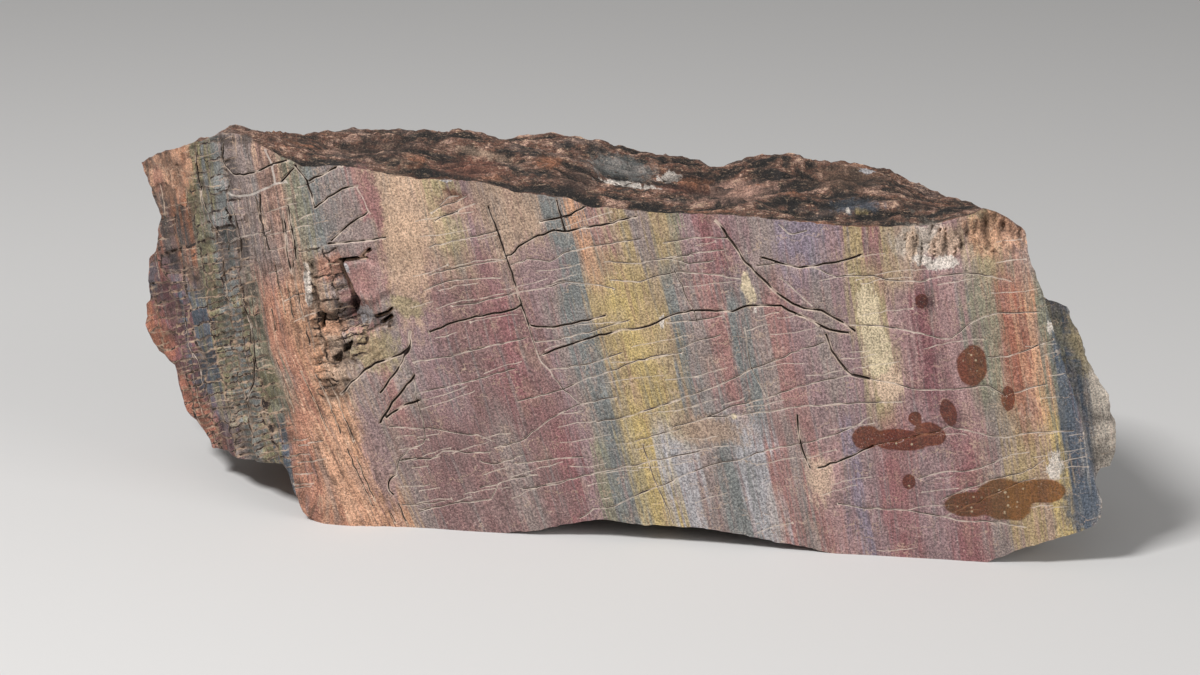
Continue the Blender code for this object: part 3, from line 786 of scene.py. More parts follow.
# The brown skin: its colours from hollow to crest, how far relief moves them, and its ragged edge
SKIN_STOPS = (
    (0.27, "black"), (0.36, "dark brown"), (0.43, "brown"), (0.49, "red brown"), (0.54, "brown"),
    (0.61, "salmon brown"), (0.72, "sand"),
)
# Relief moves the skin's own colours darker in the hollows, painted shade, and paler on the crests, painted
# highlight
SKIN_SHADE_BY_RELIEF = (-1.6, 1.6, 0.24)
SKIN_RAGGED = (0.25, 0.75, 0.30)
SKIN_STARTS = (0.42, 0.58)

# Brightness: the level from and to, and the brightness at each
LIGHT = {
    "speckle": (0.31, 0.69, 0.48, 1.52),
    "streak": (0.25, 0.75, 0.84, 1.16),
    "blotch": (0.2, 0.8, 0.86, 1.14),
}
# Painted shade in the hollows and painted highlight on the crests: relief (mm) from and to, brightness at
# each
RELIEF_SHADE_AND_HIGHLIGHT = (-1.4, 0.6, 0.38, 1.12)
BLOCK_LIGHT = (-0.34, 0.22)

# Seams between the blocks, as distances (mm): pale rims, dark cores of painted shade, and where they are open
SEAM_JITTER = (0.3, 0.7, 0.22)
SEAM_RIM = (0.62, 0.25)
SEAM_SHADE_CORE = (0.46, 0.18)
SMALL_ROWS = (5.0, 3.0)
RIM_STRENGTH = (0.30, 0.85)
OPEN_SEAMS = (0.38, 0.55, 0.1, 1.1)

# Fine broken threads: half width of their middle and edge (millimetres), their wobble, in spacings and as a
# noise (scale, detail, roughness), and how their runs start and stop
THREAD_MIDDLE = 0.06
THREAD_EDGE = 0.36
THREAD_WOBBLE = 2.2
THREAD_NOISE = (0.16, 3.0, 0.6)
THREAD_RUN_SCALE = 0.085
THREAD_STEP = 3.7
THREAD_RUNS = (0.48, 0.60)
# Threads on the plain face: rise over run, spacing (millimetres), seed, whether they follow the grain
FACE_THREADS = (
    (0.22, 7.0, 1.0, False),
    (0.05, 10.0, 5.0, False),
    (0.0, 21.0, 9.0, True),
)
FACE_THREAD_STRENGTH = 0.50
# Threads on the blocks: rise over run, spacing (millimetres), seed, strength, colour
BLOCK_THREADS = (
    (0.16, 2.6, 13.0, 0.75, "pale sand"),
    # The dark threads are painted shade in fine cracks
    (0.24, 3.1, 17.0, 0.90, "crack"),
)

# Cracks, by how near their middle is (0 to 1) and how open they are: pale lips, then a dark core of painted
# shade
LIP_NEAR = (0.15, 0.45)
LIP_OPENNESS = (0.0, 0.5, 0.60, 0.95)
LIP_PATCHES = (0.35, 0.60, 0.55, 1.0)
SHADED_CORE_OPENNESS = (0.0, 1.0, 0.5, 1.30)
SHADED_CORE_NEAR = (0.58, 0.78, 0.0, 0.92)

# Damp spots: their edge, how they darken and tint the stone, and painted highlights of small drops on them
DAMP_RAGGED = (0.2, 0.8, 0.06)
DAMP_EDGE = (0.46, 0.54)
DAMP_DARKENING = (0.48, 0.21, 0.09, 1.0)
DAMP_TINT = 0.22
DAMP_STRENGTH = 0.94
BEAD_GLINT_SCALE = 0.34
BEAD_GLINT_EDGE = (0.22, 0.10)
BEAD_GLINT_CHOICE = (0.48, 0.56)
BEAD_GLINT_INWARD = (0.62, 0.72)
BEAD_GLINT_STRENGTH = 0.6

# Finish: roughness by speckle, roughness of damp stone, and the bump with the weight of each texture in it
DRY_ROUGHNESS = (0.2, 0.8, 0.80, 0.56)
DAMP_ROUGHNESS = (0.10, 0.10, 0.10, 1.0)
BUMP_STRENGTH = 0.8
BUMP_DISTANCE = 1.0 * MM
SPECKLE_BUMP = 0.7
STREAK_BUMP = 0.25
GRIT_BUMP = 2.0
SEAM_BUMP = 0.7
BROKEN_GRIT = 0.5

Line = namedtuple("Line", "route half_width depth openness whiteness")
Blocks = namedtuple("Blocks", "value border share row_height")


def smooth(low, high, value):
    """Rises from 0 at low to 1 at high."""
    share = np.clip((value - low) / (high - low), 0, 1)
    return share * share * (3 - 2 * share)


def roughness(points, size, octaves=3):
    """Fractal noise of the given feature size, about -1 to 1, one value a point."""
    return np.array([noise.fractal(Vector(p) / size, 1.0, 2.0, octaves) for p in points])


def lumps(points, height, size, octaves=3):
    """Fractal noise of this height and feature size, one value a point."""
    return height * roughness(points, size, octaves)


def crests(points, size):
    """Noise with narrow crests, 0 to about 1, with its own size on each axis."""
    return 1 - 2 * np.hypot([noise.noise(Vector(p / size)) for p in points], CREST_ROUNDING)


def ridges(points, height, sizes):
    """Ridges of this height above and below their mean, with their own size on each axis."""
    return height * (crests(points, np.array(sizes)) - RIDGE_MEAN)


def over(x, z, feature):
    """Points over (x, z) at the depth where a feature's noise is read."""
    return np.column_stack((x, np.full(len(x), NOISE_DEPTHS[feature]), z))


def from_centre(pixels, centre, half_size):
    """Distance of each pixel from an ellipse's centre, 1 on its edge."""
    return np.hypot(*((pixels - np.array(centre)) / half_size).T)


def mounds(forms, across, along):
    """Sum of rounded lumps and hollows, read from rows in millimetres."""
    total = np.zeros(len(across))
    for centre_a, centre_b, half_a, half_b, height in forms:
        spread = ((across / MM - centre_a) / half_a) ** 2 + ((along / MM - centre_b) / half_b) ** 2
        total += height * MM * np.exp(-spread)
    return total


def hashed(first, second, seed):
    """A steady random number from 0 to 1 for each pair of whole numbers."""
    value = np.sin(first * 127.1 + second * 311.7 + seed * 74.7) * 43758.5453
    return value - np.floor(value)


def blocks(across, rows, row_height, width):
    """Angular blocks in columns: each block's own random value, and the distance to its border."""
    column = np.floor(across / width)
    turn = (column * COLUMN_STEP) % 1
    taller = np.where(turn > TALL_FROM_TURN, TALL_ROWS, 1.0)
    shifted = rows * taller + turn
    row_height = row_height / taller
    row = np.floor(shifted)
    beside = across / width - column
    above = shifted - row
    aside = np.minimum(beside, 1 - beside) * width
    border = np.minimum(aside, np.minimum(above, 1 - above) * row_height)
    return hashed(column, row, BLOCK_SEED), border


def distance_to(line, points):
    """Distance of each point to a polyline."""
    starts = line[:-1]
    steps = np.diff(line, axis=0)
    lengths = np.maximum((steps ** 2).sum(axis=1), 1e-18)
    nearest = np.full(len(points), np.inf)
    for start, step, length in zip(starts, steps, lengths):
        share = np.clip((points - start) @ step / length, 0, 1)
        nearest = np.minimum(nearest, np.linalg.norm(points - start - share[:, None] * step, axis=1))
    return nearest


def closed(line):
    """The outline with its first point again at its end."""
    return np.vstack((line, line[:1]))


def photo_pixels(points):
    """Pixel of the photograph at which each point is seen."""
    away = points - EYE
    depth = -(away @ BACKWARD)
    across = PHOTO_WIDTH / 2 + FOCAL_PIXELS * (away @ RIGHTWARD) / depth
    down = PHOTO_HEIGHT / 2 - FOCAL_PIXELS * (away @ UPWARD) / depth
    return np.column_stack((across, down))


def band_place(pixels):
    """Where the colour band through each pixel crosses the middle row."""
    at, up, down = np.array(LEANS).T
    rise = np.maximum(pixels[:, 1], HIGHEST_ROW) - MIDDLE_ROW
    place = pixels[:, 0].copy()
    for _ in range(BAND_ROUNDS):
        lean = np.where(rise < 0, np.interp(place, at, up), np.interp(place, at, down))
        place = pixels[:, 0] - lean * rise
    return place


def face_depth(x, z):
    """How far back the front face lies at (x, z), before its fine relief."""
    fold = np.interp(z, (0, FOLD_HEIGHT), (FOLD_X_AT_FOOT, FOLD_X_AT_TOP))
    turned = FOLD_ROUNDING * np.logaddexp(0, (fold - x) / FOLD_ROUNDING) * np.tan(FOLD_ANGLE)
    flat = over(x, z, "face")
    y = FRONT_Y + turned + lumps(flat, *FACE_SWELL)
    y += RIGHT_EDGE_SLOPE * np.clip(x - RIGHT_EDGE_X, 0, None)
    y += smooth(*LEFT_END_X, x) * lumps(flat, *LEFT_END_LUMPS)
    return y - mounds(FACE_FORMS, x, z)


def on_face(route):
    """The places (x, z) on the front face that are seen at the route's photograph pixels."""
    route = np.array(route, float)
    across = (route[:, :1] - PHOTO_WIDTH / 2) / FOCAL_PIXELS
    down = (route[:, 1:] - PHOTO_HEIGHT / 2) / FOCAL_PIXELS
    ray = -BACKWARD + RIGHTWARD * across - UPWARD * down
    depth = np.full(len(route), FRONT_Y)
    for _ in range(FACE_ROUNDS):
        points = EYE + ray * ((depth - EYE[1]) / ray[:, 1])[:, None]
        depth = face_depth(points[:, 0], points[:, 2])
    return points[:, [0, 2]]


def resampled(line, spacing):
    """The polyline with points at about this spacing."""
    lengths = np.concatenate(([0], np.cumsum(np.linalg.norm(np.diff(line, axis=0), axis=1))))
    along = np.linspace(0, lengths[-1], max(2, round(lengths[-1] / spacing) + 1))
    return np.column_stack([np.interp(along, lengths, line[:, axis]) for axis in (0, 1)])


def sideways(line):
    """Unit direction across the polyline at each of its points."""
    run = np.gradient(line, axis=0)
    run /= np.maximum(np.linalg.norm(run, axis=1), 1e-9)[:, None]
    return np.column_stack((-run[:, 1], run[:, 0]))


def jagged(line):
    """The polyline with small kinks between its ends."""
    knots = resampled(line, KINK_SPACING)
    aside = lumps(over(*knots.T, "kinks"), *KINKS)
    aside[[0, -1]] = 0
    return knots + sideways(knots) * aside[:, None]


def ladder_routes(areas, chance, shortest, longest, seed):
    """Short cross cracks in rows, in photograph pixels."""
    rng = np.random.default_rng(seed)
    routes = []
    for left, right, top, bottom, gap, slope in areas:
        for row in np.arange(top, bottom, gap):
            start = left + rng.uniform(0, shortest)
            while start < right:
                run = rng.uniform(shortest, longest)
                height = row + rng.uniform(-ROW_SHIFT, ROW_SHIFT) * gap
                rise = run * slope * rng.uniform(*RISE_RANGE)
                middle = height + rng.uniform(-BEND, BEND) * run
                if rng.random() < chance:
                    ends = (start, height + rise / 2), (start + run, height - rise / 2)
                    routes.append((ends[0], (start + run / 2, middle), ends[1]))
                start += run + rng.uniform(*BREAK_RANGE) * shortest
    return routes


def band_pixel(place, row):
    """Pixel across, on the given row, of the band that crosses the middle row at this place."""
    at, up, down = np.array(LEANS).T
    lean = np.interp(place, at, up) if row < MIDDLE_ROW else np.interp(place, at, down)
    return place + lean * (row - MIDDLE_ROW)


def split_routes():
    """Cracks along the grain, in photograph pixels."""
    rng = np.random.default_rng(SPLIT_SEED)
    routes = []
    for first, last, top, bottom, gap in SPLITS:
        for place in np.arange(first, last, gap):
            row = top + rng.uniform(0, SPLIT_START)
            while row < bottom:
                end = row + rng.uniform(*SPLIT_RUN)
                line = place + rng.uniform(-SPLIT_SHIFT, SPLIT_SHIFT) * gap
                if rng.random() < SPLIT_CHANCE:
                    rows = np.linspace(row, min(end, bottom), SPLIT_POINTS)
                    drift = np.cumsum(rng.uniform(-SPLIT_DRIFT, SPLIT_DRIFT, SPLIT_POINTS))
                    routes.append([(band_pixel(line, at) + aside, at) for at, aside in zip(rows, drift)])
                row = end + rng.uniform(*SPLIT_BREAK)
    return routes


def crack_lines():
    """Every crack on the front face."""
    routes_of = {
        "open": OPEN_CRACKS,
        "lipped": LIPPED_CRACKS,
        "cream": CREAM_CRACKS,
        "white": WHITE_CRACKS,
        "gap": GAPS,
        "short": ladder_routes(LADDERS, *LADDER_TRAITS),
        "hair": ladder_routes(HAIR_LADDERS, *HAIR_LADDER_TRAITS),
        "split": split_routes(),
    }
    lines = []
    for kind, routes in routes_of.items():
        half_width, depth, openness, whiteness = CRACK_KINDS[kind]
        for route in routes:
            line = resampled(jagged(on_face(route)), CRACK_SPACING)
            lines.append(Line(line, half_width * MM, depth * MM, openness, whiteness))
    return lines


def line_marks(lines, points):
    """For each point, how near the closest crack's middle it is (0 to 1), and that crack's traits."""
    away = np.full(len(points), np.inf)
    traits = np.zeros((len(points), 3))
    for line in lines:
        near = near_to(line.route, CRACK_REACH, points)
        found = distance_to(line.route, points[near]) / line.half_width
        closer = found < away[near]
        away[near[closer]] = found[closer]
        traits[near[closer]] = (line.depth, line.openness, line.whiteness)
    return np.clip(1 - away, 0, 1), traits


def inside(outline, points):
    """Which points are inside a closed outline."""
    found = np.zeros(len(points), bool)
    x, z = points.T
    for (x1, z1), (x2, z2) in zip(outline, np.roll(outline, -1, axis=0)):
        crosses = (z1 > z) != (z2 > z)
        if z1 != z2:
            found ^= crosses & (x < (x2 - x1) * (z - z1) / (z2 - z1) + x1)
    return found


def depth_inside(outline, points):
    """How far each point is inside a closed outline, less than 0 outside it."""
    away = distance_to(closed(outline), points)
    return np.where(inside(outline, points), away, -away)


def near_to(line, margin, points):
    """Numbers of the points in the polyline's box with a margin round it."""
    low = line.min(axis=0) - margin
    high = line.max(axis=0) + margin
    return np.flatnonzero(((points > low) & (points < high)).all(axis=1))


def plate_relief(points):
    """Steps of the blocks and hollows in the broken cavity."""
    relief = np.zeros(len(points))
    for height, corners in PLATES:
        outline = on_face(corners)
        near = near_to(outline, PLATE_MARGIN, points)
        within = depth_inside(outline, points[near])
        relief[near] += height * MM * smooth(-PLATE_SOFTNESS, PLATE_SOFTNESS, within)
    return relief


def zone_shares(pixels, band):
    """How much each point belongs to the blocky left end, the ridge and the broken cavity."""
    past_left = smooth(*RIDGE_STARTS, band)
    left = smooth(*RIDGE_STARTS[::-1], band)
    ridge = past_left * smooth(*RIDGE_ENDS, band)
    cavity = smooth(*CAVITY_EDGE, depth_inside(np.array(CAVITY_AREA, float), pixels))
    return left, ridge * (1 - cavity), cavity


def block_places(points, pixels, band):
    """Where each point lies among the blocks: across the columns and down the rows, and the rows' height."""
    flat = over(*points.T, "relief")
    across = band * MM_PER_PIXEL * MM + lumps(flat, *COLUMN_WANDER)
    cavity = pixels[:, 0] > CAVITY_FROM
    down = pixels[:, 1] + ROW_RISE * (pixels[:, 0] - ROW_RISE_FROM)
    down += lumps(flat + SECOND_NOISE, *ROW_WANDER)
    rows, heights = [], []
    for table in (LEFT_ROWS_AT, CAVITY_ROWS_AT):
        at, count = np.array(table).T
        rows.append(np.interp(down, at, count))
        tall = np.diff(at) / np.diff(count) * MM_PER_PIXEL * MM
        heights.append(np.interp(down, (at[1:] + at[:-1]) / 2, tall))
    width = np.where(cavity, CAVITY_COLUMN, LEFT_COLUMN)
    return across, np.where(cavity, rows[1], rows[0]), np.where(cavity, heights[1], heights[0]), width


def face_relief(points, pixels, band):
    """Fine relief of the front face, outwards, with its place in the blocks and its share of the ridge."""
    left, ridge, cavity = zone_shares(pixels, band)
    grain = np.column_stack((band, pixels[:, 1])) * MM_PER_PIXEL * MM
    along = np.column_stack((grain[:, 0] * STREAKS_ACROSS, grain[:, 1], np.zeros(len(grain))))
    streaks = roughness(along, STREAK_SIZE)
    flat = over(*points.T, "relief")
    fine = roughness(flat, FINE_SIZE)
    broad = roughness(flat, BROAD_SIZE)
    across, rows, row_height, width = block_places(points, pixels, band)
    value, border = blocks(across, rows, row_height, width)
    groove = smooth(GROOVE_HALF_WIDTH, 0.0, border)
    left_steps = (LEFT_STEP + LARGE_STEP * smooth(*LARGE_ROWS, row_height)) * (value - LEFT_STEP_MEAN)
    cavity_steps = CAVITY_STEP * (value - CAVITY_STEP_MEAN)
    relief = np.zeros(len(points))
    for share, steps, (streaky, lumpy, rough, grooved) in (
        (left, left_steps, LEFT_RELIEF),
        (ridge, 0, RIDGE_RELIEF),
        (cavity, cavity_steps, CAVITY_RELIEF),
        (1 - left - ridge - cavity, 0, PLAIN_RELIEF),
    ):
        relief += share * (steps + streaky * streaks + lumpy * broad + rough * fine - grooved * groove)
    plain = smooth(*CORNER_EDGE, from_centre(pixels, *PLAIN_CORNER))
    mean, change, least = BLOCK_PATCHES
    share = (left + cavity) * (1 - PLAIN_CORNER_LOSS * plain) * np.clip(mean + change * broad, least, 1)
    places = np.column_stack((across / width, rows, share, row_height / MM))
    return relief * MM, places, ridge


def front_surface(points, lines):
    """Front face as 3-D points over (x, z), with its marks."""
    x, z = points.T
    base = np.column_stack((x, face_depth(x, z), z))
    pixels = photo_pixels(base)
    band = band_place(pixels)
    relief, places, ridge = face_relief(points, pixels, band)
    relief += plate_relief(points)
    relief -= corner_pits(points, pixels)
    nearness, traits = line_marks(lines, points)
    depth, openness, whiteness = traits.T
    change = lumps(over(x, z, "cracks"), *OPENNESS_CHANGE)
    openness = openness * np.clip(OPENNESS_MEAN + change, 0, OPENNESS_MOST)
    base[:, 1] += nearness * depth * np.clip(openness, *DEPTH_LIMITS) - relief
    marks = {
        "line": np.column_stack((nearness, openness, whiteness, ridge)),
        "block": places,
        "relief": relief,
        "rind": np.zeros(len(x)),
    }
    return base, marks


def corner_pits(points, pixels):
    """Depth of the fibrous hollow and the pitted corner at the upper right."""
    flat = over(*points.T, "pits")
    pits = sum(depth * (level - crests(flat + start, np.array(size))) for depth, level, size, start in PITS)
    fibres = lumps(flat * HOLLOW_STRETCH, *HOLLOW_FIBRES)
    corner = smooth(*CORNER_EDGE, from_centre(pixels, *PITTED_CORNER))
    return pits * corner + fibres * smooth(*HOLLOW_EDGE, from_centre(pixels, *FIBROUS_HOLLOW))


def back_surface(points, inward):
    """Back face as 3-D points over (x, z); inward is 0 at the outline and 1 well within it."""
    x, z = points.T
    depths = np.array(BACK_Y_AT_X)
    flat = over(x, z, "back")
    bumps = BACK_BULGE + lumps(flat, *BACK_SWELL)
    wander = lumps(flat, *LEDGE_WANDER, octaves=2)
    for middle, lean, step in BACK_LEDGES:
        edge = middle * MM + lean * (z - LEDGE_MID_HEIGHT) + wander
        bumps += step * MM * smooth(-LEDGE_HALF_WIDTH, LEDGE_HALF_WIDTH, x - edge)
    fine = ridges(over(x + BACK_GRAIN_LEAN * z, z, "back"), *BACK_FIBRES) + lumps(flat, *BACK_GRIT)
    y = np.interp(x, depths[:, 0], depths[:, 1]) + inward * (bumps + fine)
    marks = unmarked(len(x))
    marks["relief"] = fine
    marks["rind"] = np.full(len(x), BACK_SKIN)
    return np.column_stack((x, y, z)), marks


def unmarked(count):
    """Marks of points that have no crack and no blocks."""
    return {"line": np.zeros((count, 4)), "block": np.zeros((count, 4))}


def stretch(line, axis, shares):
    """Points of an outline stretch at these shares of its run along one axis."""
    line = np.array(line, float) * MM
    run = (line[:, axis] - line[0, axis]) / (line[-1, axis] - line[0, axis])
    return np.column_stack((np.interp(shares, run, line[:, 0]), np.interp(shares, run, line[:, 1])))


def outlines(spacing):
    """Matching points round the front, the slab and the back outline."""
    rings = ([], [], [])
    for *lines, axis, length in STRETCHES:
        shares = np.arange(0, 1, 1 / round(length / spacing))
        for ring, line in zip(rings, lines):
            ring.append(stretch(line, axis, shares))
    rough = []
    for ring, amount in zip(rings, OUTLINE_ROUGHNESS):
        line = np.vstack(ring)
        flat = np.column_stack((line, np.full(len(line), OUTLINE_NOISE)))
        aside = lumps(flat, amount * MM, OUTLINE_LUMP_SIZE)
        rough.append(line + sideways(line) * aside[:, None])
    return rough


def staggered_grid(low, high, spacing, seed, stretched=1.0):
    """Points of a staggered grid over a box, each moved a little, its rows further apart where stretched."""
    rng = np.random.default_rng(seed)
    apart = spacing * ROW_STEP * stretched
    rows = []
    for number, height in enumerate(np.arange(low[1], high[1], apart)):
        across = np.arange(low[0] + spacing * 0.5 * (number % 2), high[0], spacing)
        rows.append(np.column_stack((across, np.full(len(across), height))))
    points = np.vstack(rows)
    return points + rng.uniform(-JITTER, JITTER, points.shape) * (spacing, apart)


def clear_of(line, points, distance):
    """Which points are at least this far from the polyline."""
    clear = np.ones(len(points), bool)
    near = near_to(line, distance, points)
    clear[near] = distance_to(line, points[near]) > distance
    return clear


def triangulated(outline, grid, spacing, lines=()):
    """Triangles inside the outline, along its edges and the lines, through the grid's points."""
    keep = inside(outline, grid)
    keep &= clear_of(closed(outline), grid, OUTLINE_CLEARANCE * spacing)
    for line in lines:
        keep &= clear_of(line, grid, CRACK_CLEARANCE * spacing)
    count = len(outline)
    points = [outline]
    edges = [(i, (i + 1) % count) for i in range(count)]
    for line in lines:
        edges += [(count + i, count + i + 1) for i in range(len(line) - 1)]
        count += len(line)
        points.append(line)
    points.append(grid[keep])
    flat = [Vector(p) for p in np.vstack(points).tolist()]
    border = [tuple(range(len(outline)))]
    found = geometry.delaunay_2d_cdt(flat, edges, border, INSIDE_ONLY, MERGE_DISTANCE)
    corners = np.array([tuple(v) for v in found[0]])
    faces = np.array([face for face in found[2] if len(face) == 3])
    one_side = corners[faces[:, 1]] - corners[faces[:, 0]]
    other_side = corners[faces[:, 2]] - corners[faces[:, 0]]
    turn = one_side[:, 0] * other_side[:, 1] - one_side[:, 1] * other_side[:, 0]
    faces[turn < 0] = faces[turn < 0][:, ::-1]
    return corners, faces


def mesh_lines(lines, outline):
    """Middle and both borders of each crack that lies inside the outline, in unbroken stretches."""
    routes = []
    for line in lines:
        across = sideways(line.route) * line.half_width
        routes += [line.route, line.route + across, line.route - across]
    points = np.vstack(routes)
    usable = inside(outline, points) & (distance_to(closed(outline), points) > CRACK_MARGIN)
    stretches = []
    start = 0
    for route in routes:
        kept = usable[start:start + len(route)]
        start += len(route)
        breaks = np.flatnonzero(np.diff(kept.astype(int))) + 1
        for part, good in zip(np.split(route, breaks), np.split(kept, breaks)):
            if good[0] and len(part) > 1:
                stretches.append(part)
    return stretches


def between_faces(margin, share):
    """0 at the front and at the back, 1 beyond a margin from both, as shares of the depth."""
    return smooth(*margin, share) * smooth(*margin, 1 - share)


def rim_loft(along, share, length, rings):
    """Points from the front outline over the slab's to the back's, with the crevice in front of the slab."""
    front, slab, back = [
        np.column_stack([np.interp(along, length, ring[:, axis]) for axis in range(3)]) for ring in rings
    ]
    points = front + (back - front) * share[:, None]
    out = smooth(SLAB_STARTS, SLAB_FULL, share) * np.minimum(1, (1 - share) / (1 - SLAB_FULL))
    step = slab - front
    points += step * out[:, None]
    crevice = SLAB_CREVICE * np.minimum(1, np.linalg.norm(step, axis=1) / WHOLE_CREVICE_STEP)
    points[:, 0] -= crevice * np.exp(-(((share - SLAB_STARTS) / CREVICE_HALF_WIDTH) ** 2))
    return points


def outward_from_rim(points):
    """Unit direction away from the stone's long middle axis."""
    x, _, z = points.T
    outward = np.column_stack((x / RIM_HALF_LENGTH, np.zeros(len(x)), (z - RIM_MIDDLE_Z) / RIM_HALF_HEIGHT))
    return outward / np.linalg.norm(outward, axis=1)[:, None]


def rim_grain(points, top):
    """Fine relief of the rim: splinters on the top, grit everywhere and more of it elsewhere."""
    splinters = sum(ridges(points, *splinter) for splinter in SPLINTERS)
    splinters *= smooth(*SPLINTERS_FROM_X, points[:, 0])
    return top * splinters + lumps(points, *GRIT) + (1 - top) * lumps(points, *END_GRIT)


def rim_surface(places, length, width, rings):
    """Rim points, with their marks, from their place along the outline and across it, front to back."""
    share = np.clip(places[:, 1] / np.interp(places[:, 0], length, width), 0, 1)
    start = rim_loft(places[:, 0], share, length, rings)
    x, y, z = start.T
    away = between_faces(RIM_MARGIN, share)
    top = smooth(*TOP_FROM_Z, z) * smooth(*TOP_RIGHT_X, x) * smooth(*TOP_LEFT_X, x)
    points = start.copy()
    points[:, 2] += top * away * (TOP_LIP + mounds(TOP_FORMS, x, y))
    points[:, 2] += top * away * ridges(start, *TOP_RIDGES)
    points[:, 2] += smooth(*UNDER_BELOW_Z, z) * between_faces(ARCH_MARGIN, share) * UNDERSIDE_ARCH
    coarse = away * (TOP_LUMPS * top + END_LUMPS * (1 - top)) * roughness(start, LUMP_SIZE)
    fine = between_faces(FINE_MARGIN, share) * rim_grain(start, top)
    slab_face = smooth(*SLAB_FACE_X, x) * smooth(*SLAB_FACE_SHARE, share)
    skin = SKIN_BELOW + (1 - SKIN_BELOW) * smooth(*SKIN_FROM_Z, points[:, 2])
    marks = unmarked(len(points))
    marks["relief"] = fine
    marks["rind"] = smooth(0, SKIN_EDGE, places[:, 1]) * (1 - slab_face) * skin
    return points + outward_from_rim(points) * (coarse + fine)[:, None], marks


def face_sheet(front_line, lines):
    """The front face's corners, triangles and marks, with a finer mesh where it is broken."""
    low, high = front_line.min(axis=0), front_line.max(axis=0)
    coarse = staggered_grid(low, high, FACE_SPACING, seed=1)
    middle = staggered_grid(low, high, LEFT_SPACING, seed=5)
    dense = staggered_grid(low, high, CAVITY_SPACING, seed=6)
    cavity, left, corner = [on_face(area) for area in (CAVITY_MESH, LEFT_MESH, CORNER_MESH)]
    in_cavity = [inside(cavity, grid) for grid in (coarse, middle, dense)]
    in_fine = [inside(left, grid) | inside(corner, grid) for grid in (coarse, middle)]
    grid = np.vstack((
        coarse[~in_cavity[0] & ~in_fine[0]],
        middle[in_fine[1] & ~in_cavity[1]],
        dense[in_cavity[2]],
    ))
    flat, faces = triangulated(front_line, grid, LEFT_SPACING, mesh_lines(lines, front_line))
    corners, marks = front_surface(flat, lines)
    return corners, faces, marks


def rim_sheet(rings):
    """The rim's corners, triangles and marks, laid out flat along the outline and across to the back."""
    front, slab, back = rings
    steps = np.linalg.norm(np.diff((front + back) / 2, axis=0), axis=1)
    length = np.concatenate(([0], np.cumsum(steps)))
    width = np.linalg.norm(back - front, axis=1)
    seam = np.arange(1, round(width[0] / FACE_SPACING)) * FACE_SPACING
    border = np.vstack((
        np.column_stack((length, np.zeros(len(length)))),
        np.column_stack((np.full(len(seam), length[-1]), seam)),
        np.column_stack((length, width))[::-1],
        np.column_stack((np.zeros(len(seam)), seam))[::-1],
    ))
    under_start = length[np.argmin(np.abs(front[:, 0] - FRONT_UNDER[0][0] * MM) + front[:, 2])]
    low, high = border.min(axis=0), border.max(axis=0)
    visible = staggered_grid(low, high, TOP_SPACING, seed=3, stretched=DEPTH_STRETCH)
    hidden = staggered_grid(low, high, HIDDEN_SPACING, seed=4)
    grid = np.vstack((visible[visible[:, 0] < under_start], hidden[hidden[:, 0] >= under_start]))
    flat, faces = triangulated(border, grid, TOP_SPACING)
    corners, marks = rim_surface(flat, length, width, rings)
    return corners, faces, marks


def back_sheet(back_line):
    """The back's corners, triangles and marks."""
    grid = staggered_grid(back_line.min(axis=0), back_line.max(axis=0), HIDDEN_SPACING, seed=2)
    flat, faces = triangulated(back_line, grid, HIDDEN_SPACING)
    inward = smooth(0, BACK_MARGIN, distance_to(closed(back_line), flat))
    corners, marks = back_surface(flat, inward)
    return corners, faces[:, ::-1], marks


def stone_sheets():
    """The front face, the rim and the back as sheets of corners, triangles and marks."""
    front_line, slab_line, back_line = outlines(FACE_SPACING)
    lines = crack_lines()
    front, _ = front_surface(front_line, lines)
    slab = np.column_stack((slab_line[:, 0], front[:, 1], slab_line[:, 1]))
    back, _ = back_surface(back_line, np.zeros(len(back_line)))
    rings = [closed(ring) for ring in (front, slab, back)]
    return face_sheet(front_line, lines), rim_sheet(rings), back_sheet(back_line)


def patch_fields(rows, pixels):
    """Colour of the nearest patch at each pixel, and its strength: 1 at its centre, 0.5 at its edge."""
    strength = np.full(len(pixels), -np.inf)
    colour = np.zeros((len(pixels), 3))
    for x, y, half_width, half_height, tilt, name in rows:
        turn = np.radians(tilt)
        away = pixels - (x, y)
        across = (away[:, 0] * np.cos(turn) - away[:, 1] * np.sin(turn)) / half_width
        along = (away[:, 0] * np.sin(turn) + away[:, 1] * np.cos(turn)) / half_height
        field = 1 - 0.5 * np.hypot(across, along)
        better = field > strength
        strength[better] = field[better]
        colour[better] = linear(name)
    return np.column_stack((colour, np.clip(strength, 0, 1)))


def linear(name):
    """A named colour in linear light."""
    value = np.array(COLOURS[name]) / 255
    return np.where(value < 0.04045, value / 12.92, ((value + 0.055) / 1.055) ** 2.4)


def surface_marks(mesh, corners, marks):
    """Writes what the material reads at each corner: its place in the grain, bands, patches and cracks."""
    pixels = photo_pixels(corners)
    band = band_place(pixels)
    mesh.update()
    normals = np.zeros(len(mesh.vertices) * 3)
    mesh.vertex_normals.foreach_get("vector", normals)
    facing = smooth(*FACING, normals.reshape(-1, 3) @ BACKWARD) * smooth(*FRONT_PART_Y, corners[:, 1])
    depth = (corners @ BACKWARD) / MM
    grain = np.column_stack((band * MM_PER_PIXEL, pixels[:, 1] * MM_PER_PIXEL, depth))
    mesh.attributes.new("grain", "FLOAT_VECTOR", "POINT").data.foreach_set("vector", grain.ravel())
    fields = {}
    for name, rows in (("mineral", MINERALS), ("stain", STAINS), ("wet", DAMP_SPOTS)):
        fields[name] = patch_fields(rows, pixels)
        fields[name][:, 3] *= facing
    fields["line"] = marks["line"]
    fields["block"] = marks["block"]
    fields["zone"] = np.column_stack((marks["rind"], marks["relief"] / MM, band / PHOTO_WIDTH, pixels[:, 1]))
    for name, values in fields.items():
        mesh.attributes.new(name, "FLOAT_COLOR", "POINT").data.foreach_set("color", values.ravel())


